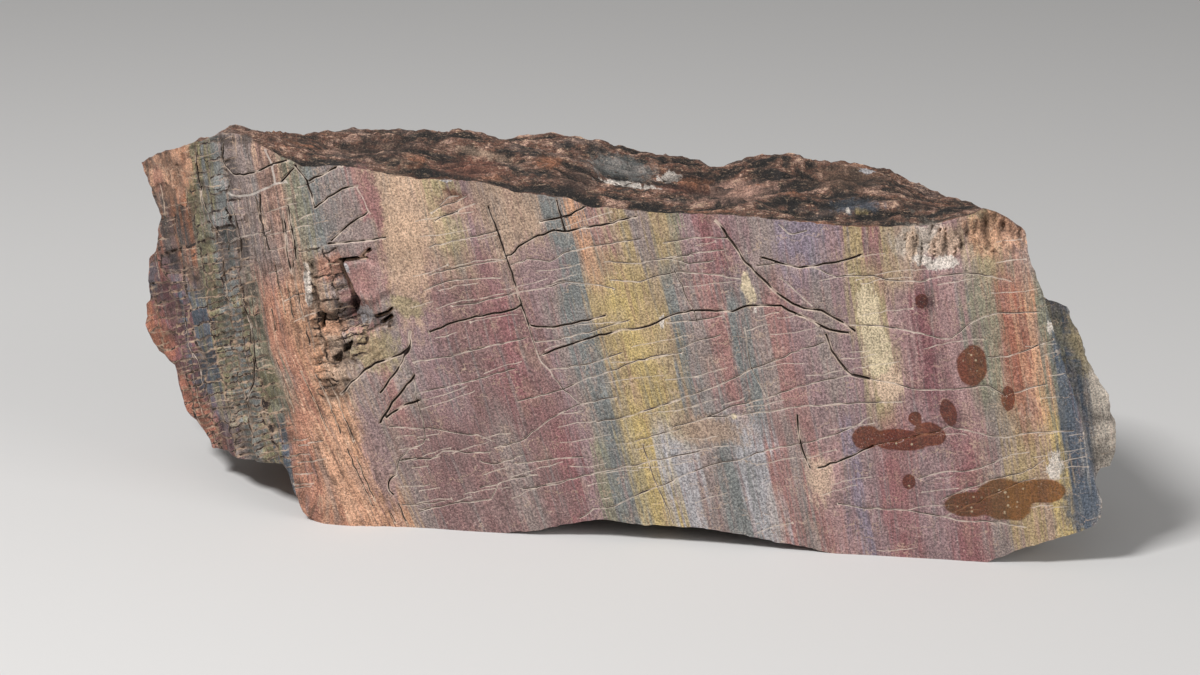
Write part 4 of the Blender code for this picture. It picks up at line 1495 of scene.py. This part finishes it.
def cut_resting_spots(mesh):
    """Cuts the stone flat where it rests, at height zero."""
    shape = bmesh.new()
    shape.from_mesh(mesh)
    bmesh.ops.remove_doubles(shape, verts=shape.verts, dist=MERGE_DISTANCE)
    everything = shape.verts[:] + shape.edges[:] + shape.faces[:]
    bmesh.ops.bisect_plane(
        shape, geom=everything, dist=CUT_TOLERANCE, plane_co=(0, 0, 0), plane_no=(0, 0, 1), clear_inner=True
    )
    open_edges = [edge for edge in shape.edges if edge.is_boundary]
    bmesh.ops.holes_fill(shape, edges=open_edges, sides=0)
    bmesh.ops.triangulate(shape, faces=[face for face in shape.faces if len(face.verts) > 3])
    bmesh.ops.recalc_face_normals(shape, faces=shape.faces)
    shape.to_mesh(mesh)
    shape.free()


class Graph:
    """A material's nodes, with one short call for each kind."""

    def __init__(self, name):
        self.material = bpy.data.materials.new(name)
        self.material.use_nodes = True
        self.nodes = self.material.node_tree.nodes
        self.links = self.material.node_tree.links
        self.shader = self.nodes["Principled BSDF"]

    def feed(self, socket, value):
        """Gives the socket another node's output, or a value of its own."""
        if isinstance(value, bpy.types.NodeSocket):
            self.links.new(value, socket)
        else:
            socket.default_value = value

    def fed(self, kind, *values):
        """A new node of this kind, its first sockets fed with the values."""
        node = self.nodes.new(kind)
        for socket, value in zip(node.inputs, values):
            self.feed(socket, value)
        return node

    def attribute(self, name, output="Color"):
        """What is written on the mesh by this name: its three parts as one, and its alpha."""
        node = self.nodes.new("ShaderNodeAttribute")
        node.attribute_name = name
        return node.outputs[output], node.outputs["Alpha"]

    def parts(self, colour):
        return self.fed("ShaderNodeSeparateColor", colour).outputs[:3]

    def axes(self, vector):
        return self.fed("ShaderNodeSeparateXYZ", vector).outputs[:3]

    def vector(self, *values):
        return self.fed("ShaderNodeCombineXYZ", *values).outputs[0]

    def shade(self, value):
        """A grey whose brightness is the value."""
        return self.fed("ShaderNodeCombineColor", value, value, value).outputs[0]

    def maths(self, operation, *values):
        node = self.fed("ShaderNodeMath", *values)
        node.operation = operation
        return node.outputs[0]

    def product(self, first, *others):
        for value in others:
            first = self.maths("MULTIPLY", first, value)
        return first

    def total(self, first, *others):
        for value in others:
            first = self.maths("ADD", first, value)
        return first

    def opposite(self, share):
        return self.maths("SUBTRACT", 1.0, share)

    def scaled(self, vector, factors):
        node = self.fed("ShaderNodeVectorMath", vector, factors)
        node.operation = "MULTIPLY"
        return node.outputs[0]

    def random(self, vector):
        node = self.nodes.new("ShaderNodeTexWhiteNoise")
        self.links.new(vector, node.inputs["Vector"])
        return node.outputs["Value"]

    def noise(self, vector, scale=1.0, detail=2.0, rough=0.5):
        node = self.nodes.new("ShaderNodeTexNoise")
        for name, value in (("Vector", vector), ("Scale", scale), ("Detail", detail), ("Roughness", rough)):
            self.feed(node.inputs[name], value)
        return node.outputs[0]

    def cell_dots(self, vector, scale):
        """Distance to the nearest of many scattered dots, and that dot's random colour."""
        node = self.nodes.new("ShaderNodeTexVoronoi")
        self.feed(node.inputs["Vector"], vector)
        self.feed(node.inputs["Scale"], scale)
        return node.outputs["Distance"], node.outputs["Color"]

    def between(self, value, low, high, at_low=0.0, at_high=1.0):
        """Runs smoothly from at_low to at_high as the value goes from low to high."""
        node = self.fed("ShaderNodeMapRange", value, low, high, at_low, at_high)
        node.interpolation_type = "SMOOTHSTEP"
        return node.outputs[0]

    def swing(self, value, low, high, amount):
        """Runs smoothly from the amount below zero to the amount above it."""
        return self.between(value, low, high, -amount, amount)

    def mix(self, factor, first, second, mode="MIX"):
        """The second colour over the first, by a factor."""
        node = self.nodes.new("ShaderNodeMix")
        node.data_type = "RGBA"
        node.blend_type = mode
        node.clamp_factor = True
        for number, value in ((0, factor), (6, first), (7, second)):
            self.feed(node.inputs[number], value)
        return node.outputs[2]

    def ramp(self, value, stops):
        """The colour at a value from 0 to 1, between stops of place and colour."""
        node = self.fed("ShaderNodeValToRGB", value)
        marks = node.color_ramp.elements
        while len(marks) < len(stops):
            marks.new(1.0)
        for mark, (place, colour) in zip(marks, stops):
            mark.position = place
            mark.color = colour
        return node.outputs[0]


class StoneGraph(Graph):
    """The stone's material, with what is written on its mesh and its textures at hand."""

    def __init__(self, name):
        super().__init__(name)
        self.grain, _ = self.attribute("grain", "Vector")
        zone, self.row = self.attribute("zone")
        self.rind, self.relief, self.place = self.parts(zone)
        line, self.ridge = self.attribute("line")
        self.near, self.openness, self.whiteness = self.parts(line)
        coordinates = self.nodes.new("ShaderNodeTexCoord").outputs["Object"]
        self.millimetres = self.scaled(coordinates, (1 / MM, 1 / MM, 1 / MM))
        self.textures = {}

    def texture(self, name):
        """One of the noise textures, made when it is first asked for."""
        if name not in self.textures:
            along_grain, scale, detail, rough = TEXTURES[name]
            place = self.grain if along_grain else self.millimetres
            self.textures[name] = self.noise(self.scaled(place, scale), 1.0, detail, rough)
        return self.textures[name]


def paint(name):
    """A named colour as a socket's value."""
    return (*linear(name), 1.0)


def band_ramp(graph, place, bands):
    """Colours of the bands, in as many ramps as their number needs."""
    starts = [start for start, _ in bands]
    ends = starts[1:] + [BANDS_END]
    stops = []
    for (start, name), end in zip(bands, ends):
        soft = BAND_SOFTNESS * (end - start)
        stops.append((start + soft, paint(name)))
        stops.append((end - soft, paint(name)))
    result = None
    for first in range(0, len(stops), STOPS_PER_RAMP - 1):
        chunk = stops[first:first + STOPS_PER_RAMP]
        if len(chunk) < 2:
            break
        low, high = chunk[0][0], chunk[-1][0]
        share = graph.maths("MULTIPLY_ADD", place, 1.0 / (high - low), -low / (high - low))
        share.node.use_clamp = True
        colour = graph.ramp(share, [((at - low) / (high - low), value) for at, value in chunk])
        if result is not None:
            colour = graph.mix(graph.maths("GREATER_THAN", place, low), result, colour)
        result = colour
    return result


def banded_colour(graph, blocks_at):
    """The leaning colour bands, frayed along the grain and moved a little from block to block."""
    wander = graph.texture("wander")
    moved = graph.product(graph.maths("SUBTRACT", blocks_at.value, 0.5), blocks_at.share, BLOCK_SHIFT)
    place = graph.total(
        graph.maths("MULTIPLY", graph.place, float(PHOTO_WIDTH)),
        graph.swing(graph.texture("fray"), *BAND_FRAY),
        graph.swing(wander, *BAND_WANDER),
        moved,
    )
    row = graph.total(graph.row, graph.swing(wander, *BAND_ROW_WANDER))
    heights = (UPPER_BANDS, MIDDLE_BANDS, LOWER_BANDS)
    upper, middle, lower = [band_ramp(graph, place, bands) for bands in heights]
    colour = graph.mix(graph.between(row, *UPPER_TO_MIDDLE), upper, middle)
    return graph.mix(graph.between(row, *MIDDLE_TO_LOWER), colour, lower)


def tinted(graph, colour, tints, share=1.0):
    """The colour with tints over it, each where its texture passes a level."""
    for texture, low, high, strength, name in tints:
        amount = graph.between(graph.texture(texture), low, high, 0.0, strength)
        colour = graph.mix(graph.product(amount, share), colour, paint(name))
    return colour


def skin_colour(graph):
    """The brown weathered skin of top and back: dark hollows, tan crests, partly painted shade and highlight.
    """
    level = graph.total(graph.texture("skin"), graph.swing(graph.relief, *SKIN_SHADE_BY_RELIEF))
    colour = graph.ramp(level, [(at, paint(name)) for at, name in SKIN_STOPS])
    return tinted(graph, colour, SKIN_TINTS)


def patched(graph, colour, name):
    """The colour with the stains or the mineral patches over it, ragged at their edges."""
    ragged, low, high, strength = PATCH_EDGES[name]
    patch, level = graph.attribute(name)
    edge = graph.total(level, graph.swing(graph.texture("ragged"), *PATCH_NOISE, ragged))
    return graph.mix(graph.between(edge, low, high, 0.0, strength), colour, patch)


def lit(graph, colour, blocks_at):
    """The colour, lighter and darker with the textures, from block to block, and by relief as painted shade
    and highlight.
    """
    lights = [graph.between(graph.texture(name), *levels) for name, levels in LIGHT.items()]
    # Painted shade in the hollows and painted highlight on the crests, by the relief
    lights.append(graph.between(graph.relief, *RELIEF_SHADE_AND_HIGHLIGHT))
    block_light = graph.between(blocks_at.value, 0.0, 1.0, *BLOCK_LIGHT)
    lights.append(graph.maths("MULTIPLY_ADD", block_light, blocks_at.share, 1.0))
    return graph.mix(1.0, colour, graph.shade(graph.product(*lights)), "MULTIPLY")


def blocks_of(graph):
    """Blocks of the left end and the cavity: each one's value, distance to its seam, share and row height."""
    block, height = graph.attribute("block")
    across, rows, share = graph.parts(block)
    column = graph.maths("FLOOR", across)
    turn = graph.maths("FRACT", graph.maths("MULTIPLY", column, COLUMN_STEP))
    tall = graph.maths("GREATER_THAN", turn, TALL_FROM_TURN)
    taller = graph.maths("MULTIPLY_ADD", tall, TALL_ROWS - 1.0, 1.0)
    shifted = graph.maths("MULTIPLY_ADD", rows, taller, turn)
    row_height = graph.maths("DIVIDE", height, taller)
    row = graph.maths("FLOOR", shifted)
    value = graph.random(graph.vector(column, row, 0.0))
    sides = []
    for place, home, size in ((across, column, LEFT_COLUMN / MM), (shifted, row, row_height)):
        part = graph.maths("SUBTRACT", place, home)
        aside = graph.maths("MINIMUM", part, graph.opposite(part))
        sides.append(graph.maths("MULTIPLY", aside, size))
    jitter = graph.swing(graph.texture("speckle"), *SEAM_JITTER)
    border = graph.total(graph.maths("MINIMUM", *sides), jitter)
    return Blocks(value, border, share, height)


def seam_share(graph, blocks_at):
    """How much of a dark seam between blocks, painted shade, there is."""
    open_seams = graph.between(graph.texture("patchy"), *OPEN_SEAMS)
    return graph.product(graph.between(blocks_at.border, *SEAM_SHADE_CORE), blocks_at.share, open_seams)


def seamed(graph, colour, blocks_at, seam):
    """The colour with the pale rims of the blocks, then the dark seams between them as painted shade."""
    small = graph.between(blocks_at.row_height, *SMALL_ROWS)
    strength = graph.between(small, 0.0, 1.0, *RIM_STRENGTH)
    rim = graph.product(graph.between(blocks_at.border, *SEAM_RIM), strength, blocks_at.share)
    colour = graph.mix(rim, colour, paint("sand"))
    # The dark seam is painted shade between the blocks
    return graph.mix(seam, colour, paint("crack"))


def threads(graph, across, down, slope, spacing, seed):
    """Fine broken threads that rise to the right, a spacing apart: 1 in their middle, 0 beside them."""
    wobble = graph.noise(graph.vector(across, down, seed), *THREAD_NOISE)
    level = graph.total(
        graph.maths("MULTIPLY", across, slope),
        down,
        graph.maths("MULTIPLY", wobble, THREAD_WOBBLE * spacing),
    )
    count = graph.maths("DIVIDE", level, spacing)
    number = graph.maths("FLOOR", count)
    part = graph.maths("SUBTRACT", count, number)
    aside = graph.maths("ABSOLUTE", graph.maths("SUBTRACT", part, 0.5))
    along = graph.maths("MULTIPLY", across, THREAD_RUN_SCALE)
    run = graph.noise(graph.vector(along, graph.maths("MULTIPLY", number, THREAD_STEP), seed))
    thread = graph.between(aside, THREAD_MIDDLE / spacing, THREAD_EDGE / spacing, 1.0, 0.0)
    return graph.maths("MULTIPLY", thread, graph.between(run, *THREAD_RUNS))


def threaded(graph, colour, blocks_at, skin):
    """The colour with fine pale threads on the plain face, and pale ones and painted shade threads on the
    blocks.
    """
    across, down, _ = graph.axes(graph.grain)
    fine = 0.0
    for *traits, follows_grain in FACE_THREADS:
        axes = (down, across) if follows_grain else (across, down)
        fine = graph.maths("MAXIMUM", fine, threads(graph, *axes, *traits))
    covered = graph.maths("MAXIMUM", skin, graph.maths("MAXIMUM", graph.ridge, blocks_at.share))
    fine = graph.product(fine, graph.opposite(covered), FACE_THREAD_STRENGTH)
    colour = graph.mix(fine, colour, paint("pale sand"))
    # The dark threads, in the crack colour, are painted shade in fine cracks
    for *traits, strength, name in BLOCK_THREADS:
        share = graph.product(threads(graph, across, down, *traits), blocks_at.share, strength)
        colour = graph.mix(share, colour, paint(name))
    return colour


def cracked(graph, colour):
    """The colour with the pale or white lips of the cracks, then their dark cores, painted shade inside them.
    """
    lip = graph.product(
        graph.between(graph.near, *LIP_NEAR),
        graph.between(graph.openness, *LIP_OPENNESS),
        graph.between(graph.texture("patchy"), *LIP_PATCHES),
    )
    colour = graph.mix(lip, colour, graph.mix(graph.whiteness, paint("pale sand"), paint("white")))
    # The dark core is painted shade inside the crack, darker the more open the crack is
    core = graph.product(graph.near, graph.between(graph.openness, *SHADED_CORE_OPENNESS))
    return graph.mix(graph.between(core, *SHADED_CORE_NEAR), colour, paint("crack"))


def dampened(graph, colour):
    """The colour with dark damp spots, painted highlights of their small drops, and the share of dampness."""
    spot, level = graph.attribute("wet")
    edge = graph.total(level, graph.swing(graph.texture("blotch"), *DAMP_RAGGED))
    damp = graph.between(edge, *DAMP_EDGE)
    soaked = graph.mix(DAMP_TINT, graph.mix(1.0, colour, DAMP_DARKENING, "MULTIPLY"), spot)
    colour = graph.mix(graph.maths("MULTIPLY", damp, DAMP_STRENGTH), colour, soaked)
    # White dots painted as the highlights of small water drops on the damp spots
    away, choice = graph.cell_dots(graph.millimetres, BEAD_GLINT_SCALE)
    bead_glints = graph.product(
        graph.between(away, *BEAD_GLINT_EDGE),
        graph.between(choice, *BEAD_GLINT_CHOICE),
        graph.between(edge, *BEAD_GLINT_INWARD),
        BEAD_GLINT_STRENGTH,
    )
    return graph.mix(bead_glints, colour, paint("cream")), damp


def add_finish(graph, damp):
    """Dull stone, a little less so on its pale grains, and glossy where it is damp."""
    dry = graph.between(graph.texture("speckle"), *DRY_ROUGHNESS)
    graph.links.new(graph.mix(damp, graph.shade(dry), DAMP_ROUGHNESS), graph.shader.inputs["Roughness"])


def add_bump(graph, blocks_at, seam):
    """Grain of the surface, rougher on the skin, the ridge and the blocks, and sunk at the seams."""
    broken = graph.maths("MULTIPLY", graph.maths("MAXIMUM", blocks_at.share, graph.ridge), BROKEN_GRIT)
    height = graph.total(
        graph.maths("MULTIPLY", graph.texture("speckle"), SPECKLE_BUMP),
        graph.maths("MULTIPLY", graph.texture("streak"), STREAK_BUMP),
        graph.product(graph.texture("grit"), graph.maths("MAXIMUM", graph.rind, broken), GRIT_BUMP),
        graph.maths("MULTIPLY", seam, -SEAM_BUMP),
    )
    bump = graph.nodes.new("ShaderNodeBump")
    bump.inputs["Strength"].default_value = BUMP_STRENGTH
    bump.inputs["Distance"].default_value = BUMP_DISTANCE
    graph.links.new(height, bump.inputs["Height"])
    graph.links.new(bump.outputs[0], graph.shader.inputs["Normal"])


def stone_material():
    """Colour-banded stone with cracks, a brown skin, mineral patches and a few damp spots."""
    graph = StoneGraph("petrified_wood_surface")
    blocks_at = blocks_of(graph)
    seam = seam_share(graph, blocks_at)
    skin = graph.total(graph.rind, graph.swing(graph.texture("ragged"), *SKIN_RAGGED))
    skin = graph.between(skin, *SKIN_STARTS)
    colour = tinted(graph, banded_colour(graph, blocks_at), FACE_TINTS)
    colour = tinted(graph, colour, CLOUD_TINTS, graph.opposite(blocks_at.share))
    colour = graph.mix(skin, colour, skin_colour(graph))
    colour = patched(graph, colour, "stain")
    colour = patched(graph, colour, "mineral")
    colour = tinted(graph, colour, BARK_TINTS, graph.ridge)
    colour = lit(graph, colour, blocks_at)
    colour = tinted(graph, colour, PALE_GRAINS)
    # Painted highlight: white glints in the colour where the skin is gone
    colour = tinted(graph, colour, PAINTED_GLINTS, graph.opposite(skin))
    colour = seamed(graph, colour, blocks_at, seam)
    colour = threaded(graph, colour, blocks_at, skin)
    colour = cracked(graph, colour)
    colour, damp = dampened(graph, colour)
    graph.links.new(colour, graph.shader.inputs["Base Color"])
    add_finish(graph, damp)
    add_bump(graph, blocks_at, seam)
    return graph.material


def make_stone():
    """The stone as one closed mesh in place of its solid, kept inside the solid's box above the floor."""
    sheets = stone_sheets()
    corners = np.vstack([sheet[0] for sheet in sheets])
    starts = np.cumsum([0] + [len(sheet[0]) for sheet in sheets[:-1]])
    faces = np.vstack([sheet[1] + start for sheet, start in zip(sheets, starts)])
    marks = {key: np.concatenate([sheet[2][key] for sheet in sheets]) for key in sheets[0][2]}
    low = np.array(CAD_LOW) - TO_CENTRE + BOX_MARGIN
    high = np.array(CAD_HIGH) - TO_CENTRE - BOX_MARGIN
    low[2] = -np.inf
    corners = np.clip(corners, low, high)
    mesh = bpy.data.meshes.new("petrified_wood_stone")
    mesh.from_pydata((corners + TO_CENTRE).tolist(), [], faces.tolist())
    surface_marks(mesh, corners, marks)
    cut_resting_spots(mesh)
    mesh.shade_smooth()
    mesh.set_sharp_from_angle(angle=SHARP_ANGLE)
    mesh.materials.append(stone_material())
    stone = bpy.data.objects.new("petrified_wood_stone", mesh)
    bpy.context.scene.collection.objects.link(stone)
    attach(stone, "root")
    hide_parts(NAME)


def make_floor():
    """A wide plain floor at height zero."""
    graph = Graph("floor")
    graph.shader.inputs["Base Color"].default_value = FLOOR_COLOUR
    graph.shader.inputs["Roughness"].default_value = FLOOR_ROUGHNESS
    corners = [(x * FLOOR_HALF, y * FLOOR_HALF, 0) for x, y in ((-1, -1), (1, -1), (1, 1), (-1, 1))]
    mesh = bpy.data.meshes.new("floor")
    mesh.from_pydata(corners, [], [(0, 1, 2, 3)])
    mesh.materials.append(graph.material)
    floor = bpy.data.objects.new("floor", mesh)
    bpy.context.scene.collection.objects.link(floor)


def aimed(name, data, place, target):
    """A new camera or light at a place, turned to its target."""
    thing = bpy.data.objects.new(name, data)
    bpy.context.scene.collection.objects.link(thing)
    thing.location = place
    thing.rotation_euler = (Vector(target) - Vector(place)).to_track_quat("-Z", "Y").to_euler()
    return thing


def make_light(name, place, size, power):
    """A square soft light."""
    light = bpy.data.lights.new(name, "AREA")
    light.size = size
    light.energy = power
    aimed(name, light, place, LIGHT_TARGET)


def make_camera():
    """The photograph's camera."""
    camera = bpy.data.cameras.new("camera")
    camera.lens = LENS
    camera.sensor_width = SENSOR
    bpy.context.scene.camera = aimed("camera", camera, EYE + TO_CENTRE, VIEW_TARGET + TO_CENTRE)


def make_world():
    """Even light from all sides."""
    world = bpy.data.worlds.new("studio")
    world.use_nodes = True
    background = world.node_tree.nodes["Background"]
    background.inputs["Color"].default_value = (1.0, 1.0, 1.0, 1.0)
    background.inputs["Strength"].default_value = WORLD_STRENGTH
    bpy.context.scene.world = world
    bpy.context.scene.view_settings.view_transform = "Standard"


make_camera()
make_world()
for name, (place, size, power) in LIGHTS.items():
    make_light(name, place, size, power)
make_floor()
make_stone()
